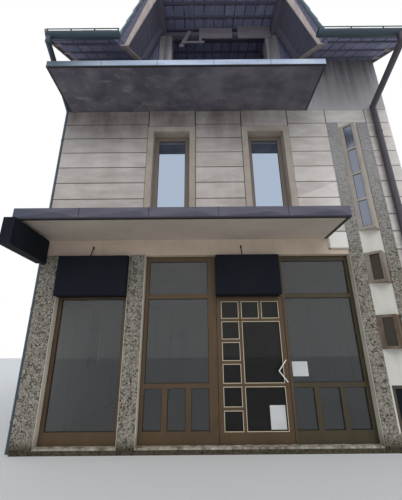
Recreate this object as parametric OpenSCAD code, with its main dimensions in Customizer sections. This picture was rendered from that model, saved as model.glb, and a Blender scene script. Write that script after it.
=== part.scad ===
// Corner shop building: two shop windows and a door at street level, a panelled upper storey,
// a canopy and a balcony slab, and a tiled roof with a trapezoid dormer over an open loggia.
// The street front looks along -Y. The origin lies on the ground at the middle of the walls.

/* [Walls] */
// Depth from the street front to the rear wall
body_d = 7500; // [6900:50:8400]
// Thickness of the outer walls
wall_t = 300; // [260:10:360]
// Height of the aggregate plinth
plinth_h = 65; // [50:5:100]
// Height of the plinth under the stair strip
stair_plinth_h = 250; // [220:5:280]
// How far piers and pilasters stand proud of the front
pier_proud = 15; // [5:1:25]

/* [Bays of the street front] */
// Width of the pier at the left corner
left_pier_w = 325; // [280:5:360]
// Width of the left shop window
left_window_w = 1225; // [1100:5:1300]
// Width of the pier between the shop windows
mid_pier_w = 260; // [220:5:300]
// Width of the display left of the door
left_display_w = 1107; // [1060:1:1150]
// Width of the post that carries the door
door_post_w = 138; // [110:1:160]
// Clear width of the doorway
doorway_w = 1145; // [1100:1:1180]
// Width of the display right of the door
right_display_w = 1255; // [1200:1:1300]
// Width of the pilaster right of the shopfront
right_pilaster_w = 225; // [200:5:250]
// Width of the plaster strip that lights the stair
stair_w = 400; // [380:5:420]
// Width of the pilaster right of the stair strip
stair_pilaster_w = 220; // [200:5:240]
// Width of the panelled strip at the right corner
corner_w = 480; // [440:5:560]

/* [Shopfront] */
// Height of the pale sill under the shopfronts
sill_h = 25; // [20:1:40]
// Setback of the shopfronts from the street front
front_recess = 115; // [90:1:140]
// Depth of the shopfront frames
frame_d = 60; // [50:1:80]
// Width of the frame members at the sides
frame_w = 80; // [50:1:90]
// Thickness of the pale lining round the shopfronts
reveal_t = 12; // [8:1:20]
// Height of the bottom rail
bottom_rail_h = 180; // [150:5:200]
// Height of the low panes
low_pane_h = 590; // [540:5:640]
// Height of the middle rail
mid_rail_h = 70; // [55:1:90]
// Height of the large panes
main_pane_h = 1340; // [1260:5:1380]
// Height of the rail under the top lights
transom_h = 72; // [60:1:90]
// Height of the top lights
top_light_h = 593; // [550:1:630]
// Height of the head rail
head_rail_h = 90; // [75:1:110]
// Width of the bars between the low panes
low_bar_w = 85; // [70:1:100]
// Thickness of the shop panes
pane_t = 10; // [6:1:14]

/* [Shop door] */
// How far the doorway reaches above the large panes
door_head_lift = 25; // [10:5:60]
// Height of the bar over the doorway
door_head_h = 60; // [50:1:80]
// Gap round the door leaf
door_gap = 8; // [6:1:12]
// Width of the stile at the hinges
hinge_stile_w = 85; // [75:1:100]
// Width of the stile at the handle
lock_stile_w = 87; // [75:1:100]
// Height of the bottom rail of the leaf
leaf_bottom_h = 168; // [150:2:190]
// Height of the top rail of the leaf
leaf_top_h = 84; // [70:1:100]
// Width of the bars between the door panes
door_bar_w = 66; // [55:1:75]
// Width of the glazing beads of the door
bead_w = 10; // [8:1:14]
// How far the glazing beads stand proud of the leaf
bead_t = 6; // [4:1:8]
// Radius of the hinge knuckles
knuckle_r = 11; // [9:0.5:13]
// Radius of the hinge pins
hinge_pin_r = 5; // [4:0.5:6]
// Play between a hinge pin and its knuckle
pin_play = 0.5; // [0.3:0.1:0.8]
// Gap between the knuckles and the face of the door frame
hinge_gap = 1; // [0.5:0.5:3]
// Height of one hinge knuckle
knuckle_h = 40; // [30:1:50]
// Play between two knuckles
knuckle_play = 1; // [0.5:0.1:2]
// Half of the width of the bent pull handle
handle_r = 8; // [6:0.5:10]
// How much slimmer than the bar its standoffs are
handle_play = 2; // [1:0.5:3]
// Distance of the pull handle from the leaf
handle_standoff = 55; // [45:1:70]
// Height of the pull handle between its fixings
handle_h = 310; // [260:5:340]
// How far the bend of the pull handle reaches over the glass
handle_reach = 125; // [90:5:150]
// Height of the lower handle fixing above the sill
handle_z = 860; // [810:5:910]

/* [Lintel, canopy and signs] */
// Height of the pale beam over the shopfronts
lintel_h = 295; // [270:5:330]
// Setback of the pale beam from the street front
lintel_recess = 10; // [5:1:20]
// Thickness of the canopy slab
canopy_t = 180; // [150:5:210]
// Depth of the canopy
canopy_d = 920; // [800:5:1000]
// Distance of the canopy's right end from the right end of the shopfront
canopy_inset = 365; // [320:5:440]
// How far the canopy passes the left corner
canopy_lap = 50; // [40:5:70]
// Thickness of the metal sheet round the canopy
fascia_t = 20; // [10:1:30]
// Depth of the panel course that hangs beside the canopy below its top
side_course_h = 390; // [360:5:410]
// Height of the two sign boards
sign_h = 690; // [600:5:720]
// How far the sign boards' tops lie below the pale beam
sign_drop = 35; // [20:5:60]
// How far the sign boards stand proud of the street front
sign_proud = 120; // [90:5:150]
// Width of the sign board over the door
door_sign_w = 1090; // [1020:5:1140]
// Gap between a sign board and the lining beside it
sign_gap = 3; // [1:1:20]
// Thickness of the projecting sign
flag_t = 170; // [140:5:200]
// Length of the projecting sign
flag_l = 1000; // [900:10:1050]
// Height of the projecting sign
flag_h = 410; // [360:5:440]
// Distance of the projecting sign from the street front
flag_gap = 100; // [80:5:130]
// Distance of the projecting sign from the canopy
flag_drop = 50; // [40:5:70]
// Thickness of the arms that carry the projecting sign
flag_arm = 40; // [30:1:50]

/* [Upper storey] */
// Height of the upper storey wall
upper_h = 2765; // [2700:5:2820]
// Thickness of the precast panels
panel_t = 40; // [30:1:50]
// Height from one panel joint to the next
course_h = 351; // [340:1:370]
// Width of a panel joint
joint_w = 20; // [12:1:26]
// Clear width of a tall window
window_w = 740; // [700:5:760]
// Clear height of a tall window
window_h = 1940; // [1880:5:2000]
// Height of the tall windows above the canopy
window_sill_h = 280; // [250:5:300]
// Width of the border of a window surround
surround_b = 118; // [100:1:130]
// How far a window surround stands proud of the panels
surround_proud = 15; // [8:1:25]
// Thickness of the lining inside a surround
lining_t = 20; // [15:1:25]
// Setback of the window frames from the street front
window_recess = 170; // [140:5:190]
// Depth of the window frames
sash_d = 70; // [60:1:80]
// Visible width of the window frames
sash_w = 95; // [80:1:110]
// Thickness of the window glass
glass_t = 24; // [16:1:30]
// Distance from the front's middle to the middle of its left window
left_window_x = 1172; // [1150:1:1190]
// Distance from the front's middle to the middle of its right window
right_window_x = 766; // [750:1:780]
// Distance from the middle of a side or rear wall to its windows
side_window_x = 1500; // [1400:10:1700]
// Clear height of a ground floor window at the side and rear
low_window_h = 1200; // [1100:10:1300]
// Height of its sill above the ground
low_window_z = 1100; // [1000:10:1150]

/* [Stair strip] */
// How far the point of a box window stands out
box_out = 180; // [150:5:200]
// Share of the strip's width at which the point lies
box_point = 0.55; // [0.5:0.01:0.6]
// Thickness of the shell of a box window
box_t = 36; // [30:1:40]
// Width of the border round the panes of a box window
box_border = 44; // [38:1:50]
// Heights of the foot and the top of each box window above the ground
box_levels = [[1420, 1950], [2490, 3030], [3470, 5780]];
// Number of panes in each box window
box_panes = [1, 1, 4];
// Thickness of the panes of the box windows
box_glass_t = 8; // [6:1:10]
// Clear height of the lowest window of the strip
foot_window_h = 640; // [600:5:680]

/* [Balcony and attic] */
// Thickness of the balcony slab
balcony_t = 130; // [110:5:160]
// Depth of the balcony
balcony_d = 1050; // [950:5:1150]
// Length of the balcony
balcony_w = 5050; // [4980:5:5120]
// Distance of the balcony from the left corner
balcony_inset = 40; // [30:5:60]
// Thickness of the metal edge round the balcony
edge_t = 20; // [15:1:25]
// How far the metal edge stands above the balcony
edge_lip = 10; // [5:1:20]
// Height of the attic wall at the street front
knee_h = 1295; // [1250:5:1350]
// Depth of the loggia
loggia_d = 1200; // [1100:10:1300]
// Thickness of the boarded loggia walls
loggia_t = 80; // [60:5:100]
// Half of the clear width between the loggia posts
loggia_half = 1110; // [1060:5:1130]
// Width of a loggia post
post_w = 290; // [270:5:300]

/* [Main roof] */
// Rise of the main roof for each unit of run
roof_rise = 0.68; // [0.64:0.01:0.72]
// Height of the roof build-up, measured upright
roof_t = 70; // [60:5:110]
// How far the eaves stand out from the walls
eave_out = 1150; // [1080:10:1200]
// Radius of the ridge tiles
ridge_r = 130; // [110:5:150]
// Depth of the ridge tiles' axis below the ridge
ridge_sink = 60; // [40:5:70]

/* [Dormer] */
// Distance of the dormer's middle left of the front's middle
dormer_shift = 120; // [100:5:140]
// How far the dormer stands out from the street front
dormer_out = 800; // [760:5:900]
// Height of the dormer's feet above the balcony floor
foot_h = 780; // [765:5:800]
// Half of the dormer's width at its feet
foot_half = 2020; // [1990:5:2060]
// How much a cheek leans in for each unit of height
cheek_lean = 0.364; // [0.34:0.002:0.38]
// Thickness of a cheek, measured level
cheek_t = 118; // [100:2:130]
// Height of the dormer roof's edge above its feet
dormer_h = 1625; // [1600:5:1700]
// Rise of the dormer roof for each unit of run
shed_rise = 0.2126; // [0.19:0.005:0.23]
// Height of the dormer roof's build-up, measured upright
shed_t = 120; // [100:5:140]
// Width of the bargeboards
barge_w = 185; // [165:1:200]
// Width of the bargeboards at the feet of the cheeks
barge_foot_w = 80; // [60:1:120]
// Thickness of the bargeboards
barge_t = 25; // [20:1:30]
// Width of the purlins
purlin_w = 110; // [90:5:120]
// Height of the purlins
purlin_h = 130; // [110:5:150]
// Width of the studs on the inner faces of the cheeks
stud_w = 100; // [80:5:120]
// Depth of these studs, measured level from the cheek
stud_d = 80; // [60:5:100]
// Distance of these studs from the street front
stud_out = 100; // [60:5:140]
// Thickness of the boards of the loggia's lintel
board_t = 25; // [18:1:30]
// Length of a whole board
board_l = 785; // [740:5:800]
// Height of the left board
board_h = 340; // [300:5:360]
// How far the boards hang below the purlins
board_drop = 110; // [90:5:130]
// Gap round the tall board, to the dormer roof and the purlin
board_gap = 6; // [4:1:10]
// Right end of the left board, from the front's middle
left_board_x = 200; // [150:5:220]
// Where the broken board hangs, from the front's middle
broken_x = -810; // [-850:5:-780]
// Width of the broken board
broken_w = 90; // [70:5:100]
// Length of the broken board
broken_l = 560; // [500:5:600]
// How far the broken board hangs askew, in degrees
broken_tilt = 22; // [15:1:25]
// Height of the loose rail
rail_h = 55; // [45:1:60]
// How far the loose rail hangs below the boards
rail_drop = 190; // [150:5:220]
// Length of the loose rail
rail_l = 520; // [480:5:560]
// Height of the beam behind the boards
beam_h = 120; // [100:5:125]
// Depth of the beam behind the boards
beam_d = 80; // [60:5:100]

/* [Gutters and downpipes] */
// Outer radius of the gutters
gutter_r = 75; // [65:1:80]
// Thickness of the gutter sheet
gutter_t = 3; // [2:0.5:4]
// Gap between the eave's edge and the gutter's back
gutter_back = 40; // [30:1:60]
// How far the gutter's rim lies below the eave's edge
gutter_drop = 28; // [15:1:40]
// How far the left gutter reaches past the dormer's foot
left_gutter_lap = 215; // [150:5:300]
// How far the right gutter reaches past the dormer's foot
right_gutter_lap = 435; // [300:5:500]
// Radius of the left downpipe
left_pipe_r = 50; // [40:1:55]
// Radius of the right downpipe
right_pipe_r = 60; // [45:1:65]
// How far the elbows stand out from the pipes
elbow_t = 4; // [3:0.5:6]
// Gap between a downpipe and the wall behind it
pipe_gap = 20; // [15:1:30]
// Distance of the right downpipe from the stair pilaster
right_pipe_x = 160; // [120:5:200]

/* [Hidden] */
$fn = 48;
far = 20000;
// How far a cut reaches past the faces that it opens
margin = 1;

// Bays of the street front, from left to right
body_w = left_pier_w + left_window_w + mid_pier_w + left_display_w + door_post_w + doorway_w
    + right_display_w + right_pilaster_w + stair_w + stair_pilaster_w + corner_w;
left_x = -body_w / 2;
right_x = body_w / 2;
front_y = -body_d / 2;
rear_y = body_d / 2;
window_x0 = left_x + left_pier_w;
window_x1 = window_x0 + left_window_w;
shop_x0 = window_x1 + mid_pier_w;
post_x0 = shop_x0 + left_display_w;
door_x0 = post_x0 + door_post_w;
door_x1 = door_x0 + doorway_w;
shop_x1 = door_x1 + right_display_w;
stair_x0 = shop_x1 + right_pilaster_w;
stair_x1 = stair_x0 + stair_w;
corner_x0 = stair_x1 + stair_pilaster_w;
inner_y = front_y + wall_t;

// Levels of the street front, from the ground up
sill_z = plinth_h + sill_h;
low_z0 = sill_z + bottom_rail_h;
low_z1 = low_z0 + low_pane_h;
main_z0 = low_z1 + mid_rail_h;
main_z1 = main_z0 + main_pane_h;
door_z1 = main_z1 + door_head_lift;
light_z0 = main_z1 + transom_h;
light_z1 = light_z0 + top_light_h;
lintel_z0 = light_z1 + head_rail_h;
canopy_z0 = lintel_z0 + lintel_h;
canopy_z1 = canopy_z0 + canopy_t;
balcony_z0 = canopy_z1 + upper_h;
balcony_z1 = balcony_z0 + balcony_t;
soffit_z = balcony_z1 + knee_h;
top_course_z = balcony_z0 - course_h;
side_course_z = canopy_z1 - side_course_h;

// Canopy and balcony
canopy_x0 = left_x - canopy_lap;
canopy_x1 = shop_x1 - canopy_inset;
balcony_x0 = left_x + balcony_inset;
balcony_x1 = balcony_x0 + balcony_w;

// Shopfront frames
frame_y = front_y + front_recess;
pane_y = frame_y + (frame_d - pane_t) / 2;

// Door leaf, turning outwards about the hinge pins
hinge_x = door_x0;
hinge_y = frame_y - knuckle_r - hinge_gap;
leaf_x0 = door_x0 + door_gap;
leaf_x1 = door_x1 - door_gap;
leaf_z0 = sill_z + door_gap;
leaf_z1 = door_z1 - door_gap;
door_cols = 3;
door_rows = 6;
col_w = (leaf_x1 - leaf_x0 - hinge_stile_w - lock_stile_w - (door_cols - 1) * door_bar_w) / door_cols;
row_h = (leaf_z1 - leaf_z0 - leaf_bottom_h - leaf_top_h - (door_rows - 1) * door_bar_w) / door_rows;
// Each door pane: column, row from below, columns and rows that it spans
door_panes = [
    [0, 5, 1, 1], [1, 5, 1, 1], [2, 5, 1, 1],
    [0, 4, 1, 1], [0, 3, 1, 1], [0, 2, 1, 1], [0, 1, 1, 1], [0, 0, 1, 1],
    [1, 2, 2, 3], [1, 0, 2, 2]
];
// Heights of the hinges above the sill
hinge_levels = [310, 1130, 1960];

// Main roof
eave_y = front_y - eave_out;
function soffit(y) = soffit_z + roof_rise * (y - front_y);
function roof_top(y) = soffit(y) + roof_t;
// Height above the ridge at which the dormer's outlines end
outline_z = roof_top(0) + ridge_r;

// Dormer
dormer_x = -dormer_shift;
dormer_y = front_y - dormer_out;
foot_z = balcony_z1 + foot_h;
function dormer_half(z) = foot_half - cheek_lean * (z - foot_z);
function cheek_inner(z) = dormer_half(z) - cheek_t;
function shed_top(y) = foot_z + dormer_h + shed_rise * (y - dormer_y);
function shed_under(y) = shed_top(y) - shed_t;
// Depth at which the dormer roof's upper face meets the main roof's soffit
shed_top_end = (shed_top(0) - soffit(0)) / (roof_rise - shed_rise);
purlin_z1 = shed_under(dormer_y);
purlin_z0 = purlin_z1 - purlin_h;
post_x = loggia_half + post_w;
back_y = front_y + loggia_d;
stud_y = front_y - stud_out;
right_board_x = dormer_x + cheek_inner(purlin_z1) - purlin_w - board_gap - board_l;

// Gutters and downpipes
gutter_y = eave_y + gutter_back - gutter_r;
gutter_z = soffit(eave_y) - gutter_drop;
gutter_end = 30;
left_pipe_y = front_y + 130;
left_pipe_wall_x = left_x - left_pipe_r - pipe_gap;
left_pipe_top_x = left_x + 80;
right_pipe_wall_x = corner_x0 + right_pipe_x;
right_pipe_wall_y = front_y - right_pipe_r - pipe_gap;
clip_levels = [400, 2100, 3900, 5600];
clip_h = 30;
clip_t = 5;

// A box between two corners
module block(x, y, z) {
    translate([x[0], y[0], z[0]]) cube([x[1] - x[0], y[1] - y[0], z[1] - z[0]]);
}

// An outline in X and Z, extruded along Y
module front_slab(points, y) {
    translate([0, y[1], 0]) rotate([90, 0, 0]) linear_extrude(y[1] - y[0]) polygon(points);
}

// An outline in Y and Z, extruded along X
module side_slab(points, x) {
    translate([x[0], 0, 0]) rotate([90, 0, 90]) linear_extrude(x[1] - x[0]) polygon(points);
}

// A frame member plate with rectangular panes cut out of it, each given as [x, z]
module glazed_plate(x, y, z, panes) {
    difference() {
        block(x, y, z);
        for (pane = panes) block(pane[0], [y[0] - margin, y[1] + margin], pane[1]);
    }
}

// Panes of one display: a row of low panes, a large pane and a top light
function row_pane(x, k, n, w) = [x[0] + k * (w + low_bar_w), x[0] + k * (w + low_bar_w) + w];
function display_panes(x, n) = concat(
    [for (k = [0 : n - 1]) [row_pane(x, k, n, (x[1] - x[0] - (n - 1) * low_bar_w) / n), [low_z0, low_z1]]],
    [[x, [main_z0, main_z1]], [x, [light_z0, light_z1]]]
);

left_window_panes = [
    [[window_x0 + frame_w, window_x1 - frame_w], [low_z0, main_z1]],
    [[window_x0 + frame_w, window_x1 - frame_w], [light_z0, light_z1]]
];
left_display_panes = display_panes([shop_x0 + frame_w, post_x0], 3);
right_display_panes = display_panes([door_x1 + frame_w / 2, shop_x1 - frame_w], 3);
door_light_z0 = door_z1 + door_head_h;
door_light = [[door_x0, door_x1], [door_light_z0, light_z1]];

// Corner points of a door pane, from its column, row and spans
function door_pane_x(p) = let (x = leaf_x0 + hinge_stile_w + p[0] * (col_w + door_bar_w))
    [x, x + p[2] * (col_w + door_bar_w) - door_bar_w];
function door_pane_z(p) = let (z = leaf_z0 + leaf_bottom_h + p[1] * (row_h + door_bar_w))
    [z, z + p[3] * (row_h + door_bar_w) - door_bar_w];
door_cuts = [for (p = door_panes) [door_pane_x(p), door_pane_z(p)]];

// Panel courses on one face, in its own X and Z, counted down from the balcony
module courses(x, z, y) {
    for (k = [0 : ceil((balcony_z0 - z[0]) / course_h) - 1]) {
        top = min(z[1], balcony_z0 - k * course_h - joint_w / 2);
        foot = max(z[0], balcony_z0 - (k + 1) * course_h + joint_w / 2);
        if (top - foot > joint_w) block(x, y, [foot, top]);
    }
}

// The openings for tall windows: middles along a wall, and heights
tall_z = [canopy_z1 + window_sill_h, canopy_z1 + window_sill_h + window_h];
low_z = [low_window_z, low_window_z + low_window_h];
front_windows = [[-left_window_x, tall_z], [right_window_x, tall_z]];
side_windows = [
    [-side_window_x, tall_z], [side_window_x, tall_z],
    [-side_window_x, low_z], [side_window_x, low_z]
];

// The hole that a window and its lining need in a wall whose outer face is at Y = 0
module window_holes(windows) {
    for (w = windows) {
        block([w[0] - window_w / 2 - lining_t, w[0] + window_w / 2 + lining_t],
              [-margin, wall_t + margin], [w[1][0] - lining_t, w[1][1] + lining_t]);
    }
}

// A surround with its lining, in a wall whose outer face is at Y = 0 and its backing at Y = back
module surround(w, back) {
    x = [w[0] - window_w / 2, w[0] + window_w / 2];
    difference() {
        union() {
            block([x[0] - surround_b, x[1] + surround_b], [-surround_proud, back],
                  [w[1][0] - surround_b, w[1][1] + surround_b]);
            block([x[0] - lining_t, x[1] + lining_t], [0, window_recess],
                  [w[1][0] - lining_t, w[1][1] + lining_t]);
        }
        block(x, [-surround_proud - margin, window_recess + margin], w[1]);
    }
}

// A fixed window frame behind its surround
module sash(w) {
    x = [w[0] - window_w / 2, w[0] + window_w / 2];
    y = [window_recess, window_recess + sash_d];
    glazed_plate([x[0] - lining_t, x[1] + lining_t], y, [w[1][0] - lining_t, w[1][1] + lining_t],
                 [[[x[0] + sash_w, x[1] - sash_w], [w[1][0] + sash_w, w[1][1] - sash_w]]]);
}

// The glass of a fixed window
module sash_glass(w) {
    y = window_recess + (sash_d - glass_t) / 2;
    block([w[0] - window_w / 2 + sash_w, w[0] + window_w / 2 - sash_w], [y, y + glass_t],
          [w[1][0] + sash_w, w[1][1] - sash_w]);
}

// Places what is drawn for a wall at Y = 0 on the front, left or rear wall
module on_front() { translate([0, front_y, 0]) children(); }
module on_left() { translate([left_x, 0, 0]) rotate([0, 0, -90]) children(); }
module on_rear() { translate([0, rear_y, 0]) rotate([0, 0, 180]) children(); }

module plinth() {
    color("#8f8b80") union() {
        block([left_x, stair_x0], [front_y, inner_y], [0, plinth_h]);
        block([stair_x0, stair_x1], [front_y, inner_y], [0, stair_plinth_h]);
        block([stair_x1, right_x], [front_y, inner_y], [0, plinth_h]);
    }
}

module ground_slab() {
    color("#9a958b")
        block([left_x + wall_t, right_x - wall_t], [inner_y, rear_y - wall_t], [0, sill_z]);
}

module piers() {
    color("#a29d90") {
        block([left_x, window_x0], [front_y - pier_proud, inner_y], [plinth_h, lintel_z0]);
        block([window_x1, shop_x0], [front_y - pier_proud, inner_y], [plinth_h, lintel_z0]);
    }
}

module pilasters() {
    color("#a29d90") {
        block([shop_x1, stair_x0], [front_y - pier_proud, inner_y], [plinth_h, top_course_z]);
        block([stair_x1, corner_x0], [front_y - pier_proud, inner_y], [plinth_h, top_course_z]);
    }
}

// The pale sill and side linings of one shopfront, in front of its frame
module reveal(x) {
    block(x, [front_y, inner_y], [plinth_h, sill_z]);
    block([x[0], x[0] + reveal_t], [front_y, frame_y], [sill_z, lintel_z0]);
    block([x[1] - reveal_t, x[1]], [front_y, frame_y], [sill_z, lintel_z0]);
}

module shop_reveals() {
    color("#cfc3ac") {
        reveal([window_x0, window_x1]);
        reveal([shop_x0, shop_x1]);
    }
}

module lintel_beam() {
    color("#b7a48c")
        front_slab([[left_x, lintel_z0], [shop_x1, lintel_z0], [shop_x1, side_course_z],
                    [canopy_x1, side_course_z], [canopy_x1, canopy_z0], [left_x, canopy_z0]],
                   [front_y + lintel_recess, inner_y]);
}

module left_window_frame() {
    color("#5f4a35")
        glazed_plate([window_x0, window_x1], [frame_y, frame_y + frame_d], [sill_z, lintel_z0],
                     left_window_panes);
}

module left_display_frame() {
    color("#5f4a35")
        glazed_plate([shop_x0, post_x0], [frame_y, frame_y + frame_d], [sill_z, lintel_z0],
                     left_display_panes);
}

module door_frame() {
    color("#5f4a35") {
        glazed_plate([post_x0, door_x1 + frame_w / 2], [frame_y, frame_y + frame_d], [sill_z, lintel_z0],
                     [[[door_x0, door_x1], [sill_z - margin, door_z1]], door_light]);
    }
}

module right_display_frame() {
    color("#5f4a35")
        glazed_plate([door_x1 + frame_w / 2, shop_x1], [frame_y, frame_y + frame_d], [sill_z, lintel_z0],
                     right_display_panes);
}

module shop_glass() {
    color("#9fb0b8", 0.4)
        for (pane = concat(left_window_panes, left_display_panes, right_display_panes, [door_light]))
            block(pane[0], [pane_y, pane_y + pane_t], pane[1]);
}

// One hinge's fixed knuckles and pin, and the plate that holds them to the post
module door_hinges() {
    color("#6b5238")
        for (level = hinge_levels) translate([hinge_x, hinge_y, sill_z + level]) {
            for (side = [-1, 1]) {
                z = side * (knuckle_h + knuckle_play) - knuckle_h / 2;
                translate([0, 0, z]) cylinder(r = knuckle_r, h = knuckle_h);
                block([-4 * knuckle_r, 0], [0, frame_y - hinge_y], [z, z + knuckle_h]);
            }
            translate([0, 0, -knuckle_h]) cylinder(r = hinge_pin_r, h = 2 * knuckle_h);
        }
}

// The leaf, with the middle knuckle of each hinge on its face
module shop_door() {
    color("#6b5238") difference() {
        union() {
            glazed_plate([leaf_x0, leaf_x1], [frame_y, frame_y + frame_d], [leaf_z0, leaf_z1], door_cuts);
            for (level = hinge_levels) translate([hinge_x, hinge_y, sill_z + level - knuckle_h / 2]) {
                cylinder(r = knuckle_r, h = knuckle_h);
                block([0, 4 * knuckle_r], [0, frame_y - hinge_y], [0, knuckle_h]);
            }
        }
        for (level = hinge_levels)
            translate([hinge_x, hinge_y, sill_z + level - knuckle_h])
                cylinder(r = hinge_pin_r + pin_play, h = 2 * knuckle_h);
    }
}

module door_glass() {
    color("#9fb0b8", 0.4)
        for (pane = door_cuts) block(pane[0], [pane_y, pane_y + pane_t], pane[1]);
}

module door_beads() {
    color("#c8b48a")
        for (pane = door_cuts)
            glazed_plate([pane[0][0] - bead_w, pane[0][1] + bead_w], [frame_y - bead_t, frame_y],
                         [pane[1][0] - bead_w, pane[1][1] + bead_w], [pane]);
}

// A bent flat bar between two standoffs, its bend reaching towards the hinges
module door_handle() {
    x = leaf_x1 - lock_stile_w / 2;
    y = frame_y - handle_standoff;
    z = sill_z + handle_z;
    tip = norm([handle_reach, handle_h / 2]) / (handle_h / 2) * handle_r;
    color("#e6e6e2") {
        for (end = [0, handle_h])
            translate([x, frame_y, z + end]) rotate([90, 0, 0])
                cylinder(r = handle_r - handle_play, h = handle_standoff);
        front_slab([[x - tip, z - handle_r], [x + tip, z - handle_r],
                    [x - handle_reach + tip, z + handle_h / 2],
                    [x + tip, z + handle_h + handle_r], [x - tip, z + handle_h + handle_r],
                    [x - handle_reach - tip, z + handle_h / 2]], [y - handle_r, y]);
    }
}

module sign_boards() {
    y = [front_y - sign_proud, frame_y];
    z = [lintel_z0 - sign_drop - sign_h, lintel_z0 - sign_drop];
    color("#14181f") {
        block([window_x0 + reveal_t + sign_gap, window_x1 - reveal_t - sign_gap], y, z);
        block([door_x0, door_x0 + door_sign_w], y, z);
    }
}

module projecting_sign() {
    top = canopy_z0 - flag_drop;
    x = left_x - flag_t / 4;
    mid = x + flag_t / 2;
    color("#14181f") {
        block([x, x + flag_t], [front_y - flag_gap - flag_l, front_y - flag_gap], [top - flag_h, top]);
        block([mid - flag_arm / 2, mid + flag_arm / 2], [front_y - flag_gap, front_y - pier_proud],
              [top - flag_h, top - flag_h + flag_arm]);
        block([mid - flag_arm / 2, mid + flag_arm / 2], [front_y - flag_gap, front_y + lintel_recess],
              [top - 2 * flag_arm, top - flag_arm]);
    }
}

module canopy_slab() {
    color("#a08f7d") union() {
        block([canopy_x0 + fascia_t, canopy_x1 - fascia_t], [front_y - canopy_d + fascia_t, front_y],
              [canopy_z0, canopy_z1]);
        block([left_x, canopy_x1], [front_y, inner_y], [canopy_z0, canopy_z1]);
    }
}

module canopy_fascia() {
    color("#5a5358") difference() {
        block([canopy_x0, canopy_x1], [front_y - canopy_d, front_y], [canopy_z0, canopy_z1]);
        block([canopy_x0 + fascia_t, canopy_x1 - fascia_t],
              [front_y - canopy_d + fascia_t, front_y + margin], [canopy_z0 - margin, canopy_z1 + margin]);
    }
}

module first_floor_slab() {
    color("#9a958b")
        block([left_x + wall_t, right_x - wall_t], [inner_y, rear_y - wall_t], [canopy_z0, canopy_z1]);
}

module upper_front_wall() {
    color("#b3ada2") difference() {
        front_slab([[left_x, canopy_z1], [canopy_x1, canopy_z1], [canopy_x1, side_course_z],
                    [shop_x1, side_course_z], [shop_x1, top_course_z], [corner_x0, top_course_z],
                    [corner_x0, balcony_z0], [left_x, balcony_z0]], [front_y + panel_t, inner_y]);
        on_front() window_holes(front_windows);
    }
}

// Edges of the window bays, where the panels stop at the surrounds
bay_half = window_w / 2 + surround_b;
bay_gap = joint_w / 2;

// The panels over and under the surround of a tall window
module bay_panels(w, y) {
    x = [w[0] - bay_half + bay_gap, w[0] + bay_half - bay_gap];
    block(x, y, [tall_z[1] + surround_b + joint_w, balcony_z0]);
    block(x, y, [canopy_z1, tall_z[0] - surround_b - joint_w]);
}

module wall_panels() {
    left_bay = -left_window_x;
    front = [0, panel_t];
    color("#c8c3be") {
        on_front() {
            courses([left_x, left_bay - bay_half - bay_gap], [canopy_z1, balcony_z0], front);
            courses([left_bay + bay_half + bay_gap, right_window_x - bay_half - bay_gap],
                    [canopy_z1, balcony_z0], front);
            courses([right_window_x + bay_half + bay_gap, canopy_x1], [canopy_z1, top_course_z], front);
            courses([canopy_x1, shop_x1], [side_course_z, top_course_z], front);
            courses([right_window_x + bay_half + bay_gap, shop_x1 - bay_gap],
                    [top_course_z, balcony_z0], front);
            courses([shop_x1 + bay_gap, corner_x0 - bay_gap], [top_course_z, balcony_z0], front);
            courses([corner_x0 + bay_gap, right_x], [plinth_h, balcony_z0], front);
            for (w = front_windows) bay_panels(w, front);
        }
        on_left() for (side = [-1, 1]) {
            outer = body_d / 2 - wall_t;
            courses(side < 0 ? [-outer, -side_window_x - bay_half - bay_gap]
                             : [side_window_x + bay_half + bay_gap, outer], [canopy_z1, balcony_z0], front);
            bay_panels(side_windows[side < 0 ? 0 : 1], front);
        }
        on_left() courses([-side_window_x + bay_half + bay_gap, side_window_x - bay_half - bay_gap],
                          [canopy_z1, balcony_z0], front);
    }
}

module window_surrounds() {
    color("#b8a68f") {
        on_front() for (w = front_windows) surround(w, panel_t);
        on_left() for (w = side_windows) surround(w, w[1] == tall_z ? panel_t : 0);
        on_rear() for (w = side_windows) surround(w, 0);
    }
}

module window_frames() {
    color("#5f4a35") {
        on_front() for (w = front_windows) sash(w);
        on_left() for (w = side_windows) sash(w);
        on_rear() for (w = side_windows) sash(w);
        translate([0, front_y, 0]) foot_window_frame();
    }
}

module window_glass() {
    color("#8fa0aa", 0.5) {
        on_front() for (w = front_windows) sash_glass(w);
        on_left() for (w = side_windows) sash_glass(w);
        on_rear() for (w = side_windows) sash_glass(w);
        translate([0, front_y, 0]) foot_window_glass();
    }
}

// The lowest window of the stair strip is flat, straight above the plinth
foot_hole_x = [stair_x0 + box_t, stair_x1 - box_t];
foot_hole_z = [stair_plinth_h, stair_plinth_h + foot_window_h];
foot_pane_x = [foot_hole_x[0] + box_border, foot_hole_x[1] - box_border];
foot_pane_z = [foot_hole_z[0] + box_border, foot_hole_z[1] - box_border];

module foot_window_frame() {
    glazed_plate(foot_hole_x, [0, frame_d], foot_hole_z, [[foot_pane_x, foot_pane_z]]);
}

module foot_window_glass() {
    block(foot_pane_x, [frame_d / 2, frame_d / 2 + box_glass_t], foot_pane_z);
}

// Plan of a box window: wall end, point and wall end, with the wall at Y = 0
box_a = [stair_x0, 0];
box_v = [stair_x0 + box_point * stair_w, -box_out];
box_b = [stair_x1, 0];
side_av = norm(box_v - box_a);
side_vb = norm(box_b - box_v);
side_ab = norm(box_b - box_a);
box_round = side_av + side_vb + side_ab;
box_middle = (side_vb * box_a + side_ab * box_v + side_av * box_b) / box_round;
box_in_r = side_ab * box_out / box_round;
box_scale = 1 - box_t / box_in_r;
function box_inner(p) = box_middle + box_scale * (p - box_middle);
box_turn = atan2(box_v[1] - box_a[1], box_v[0] - box_a[0]);

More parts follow.
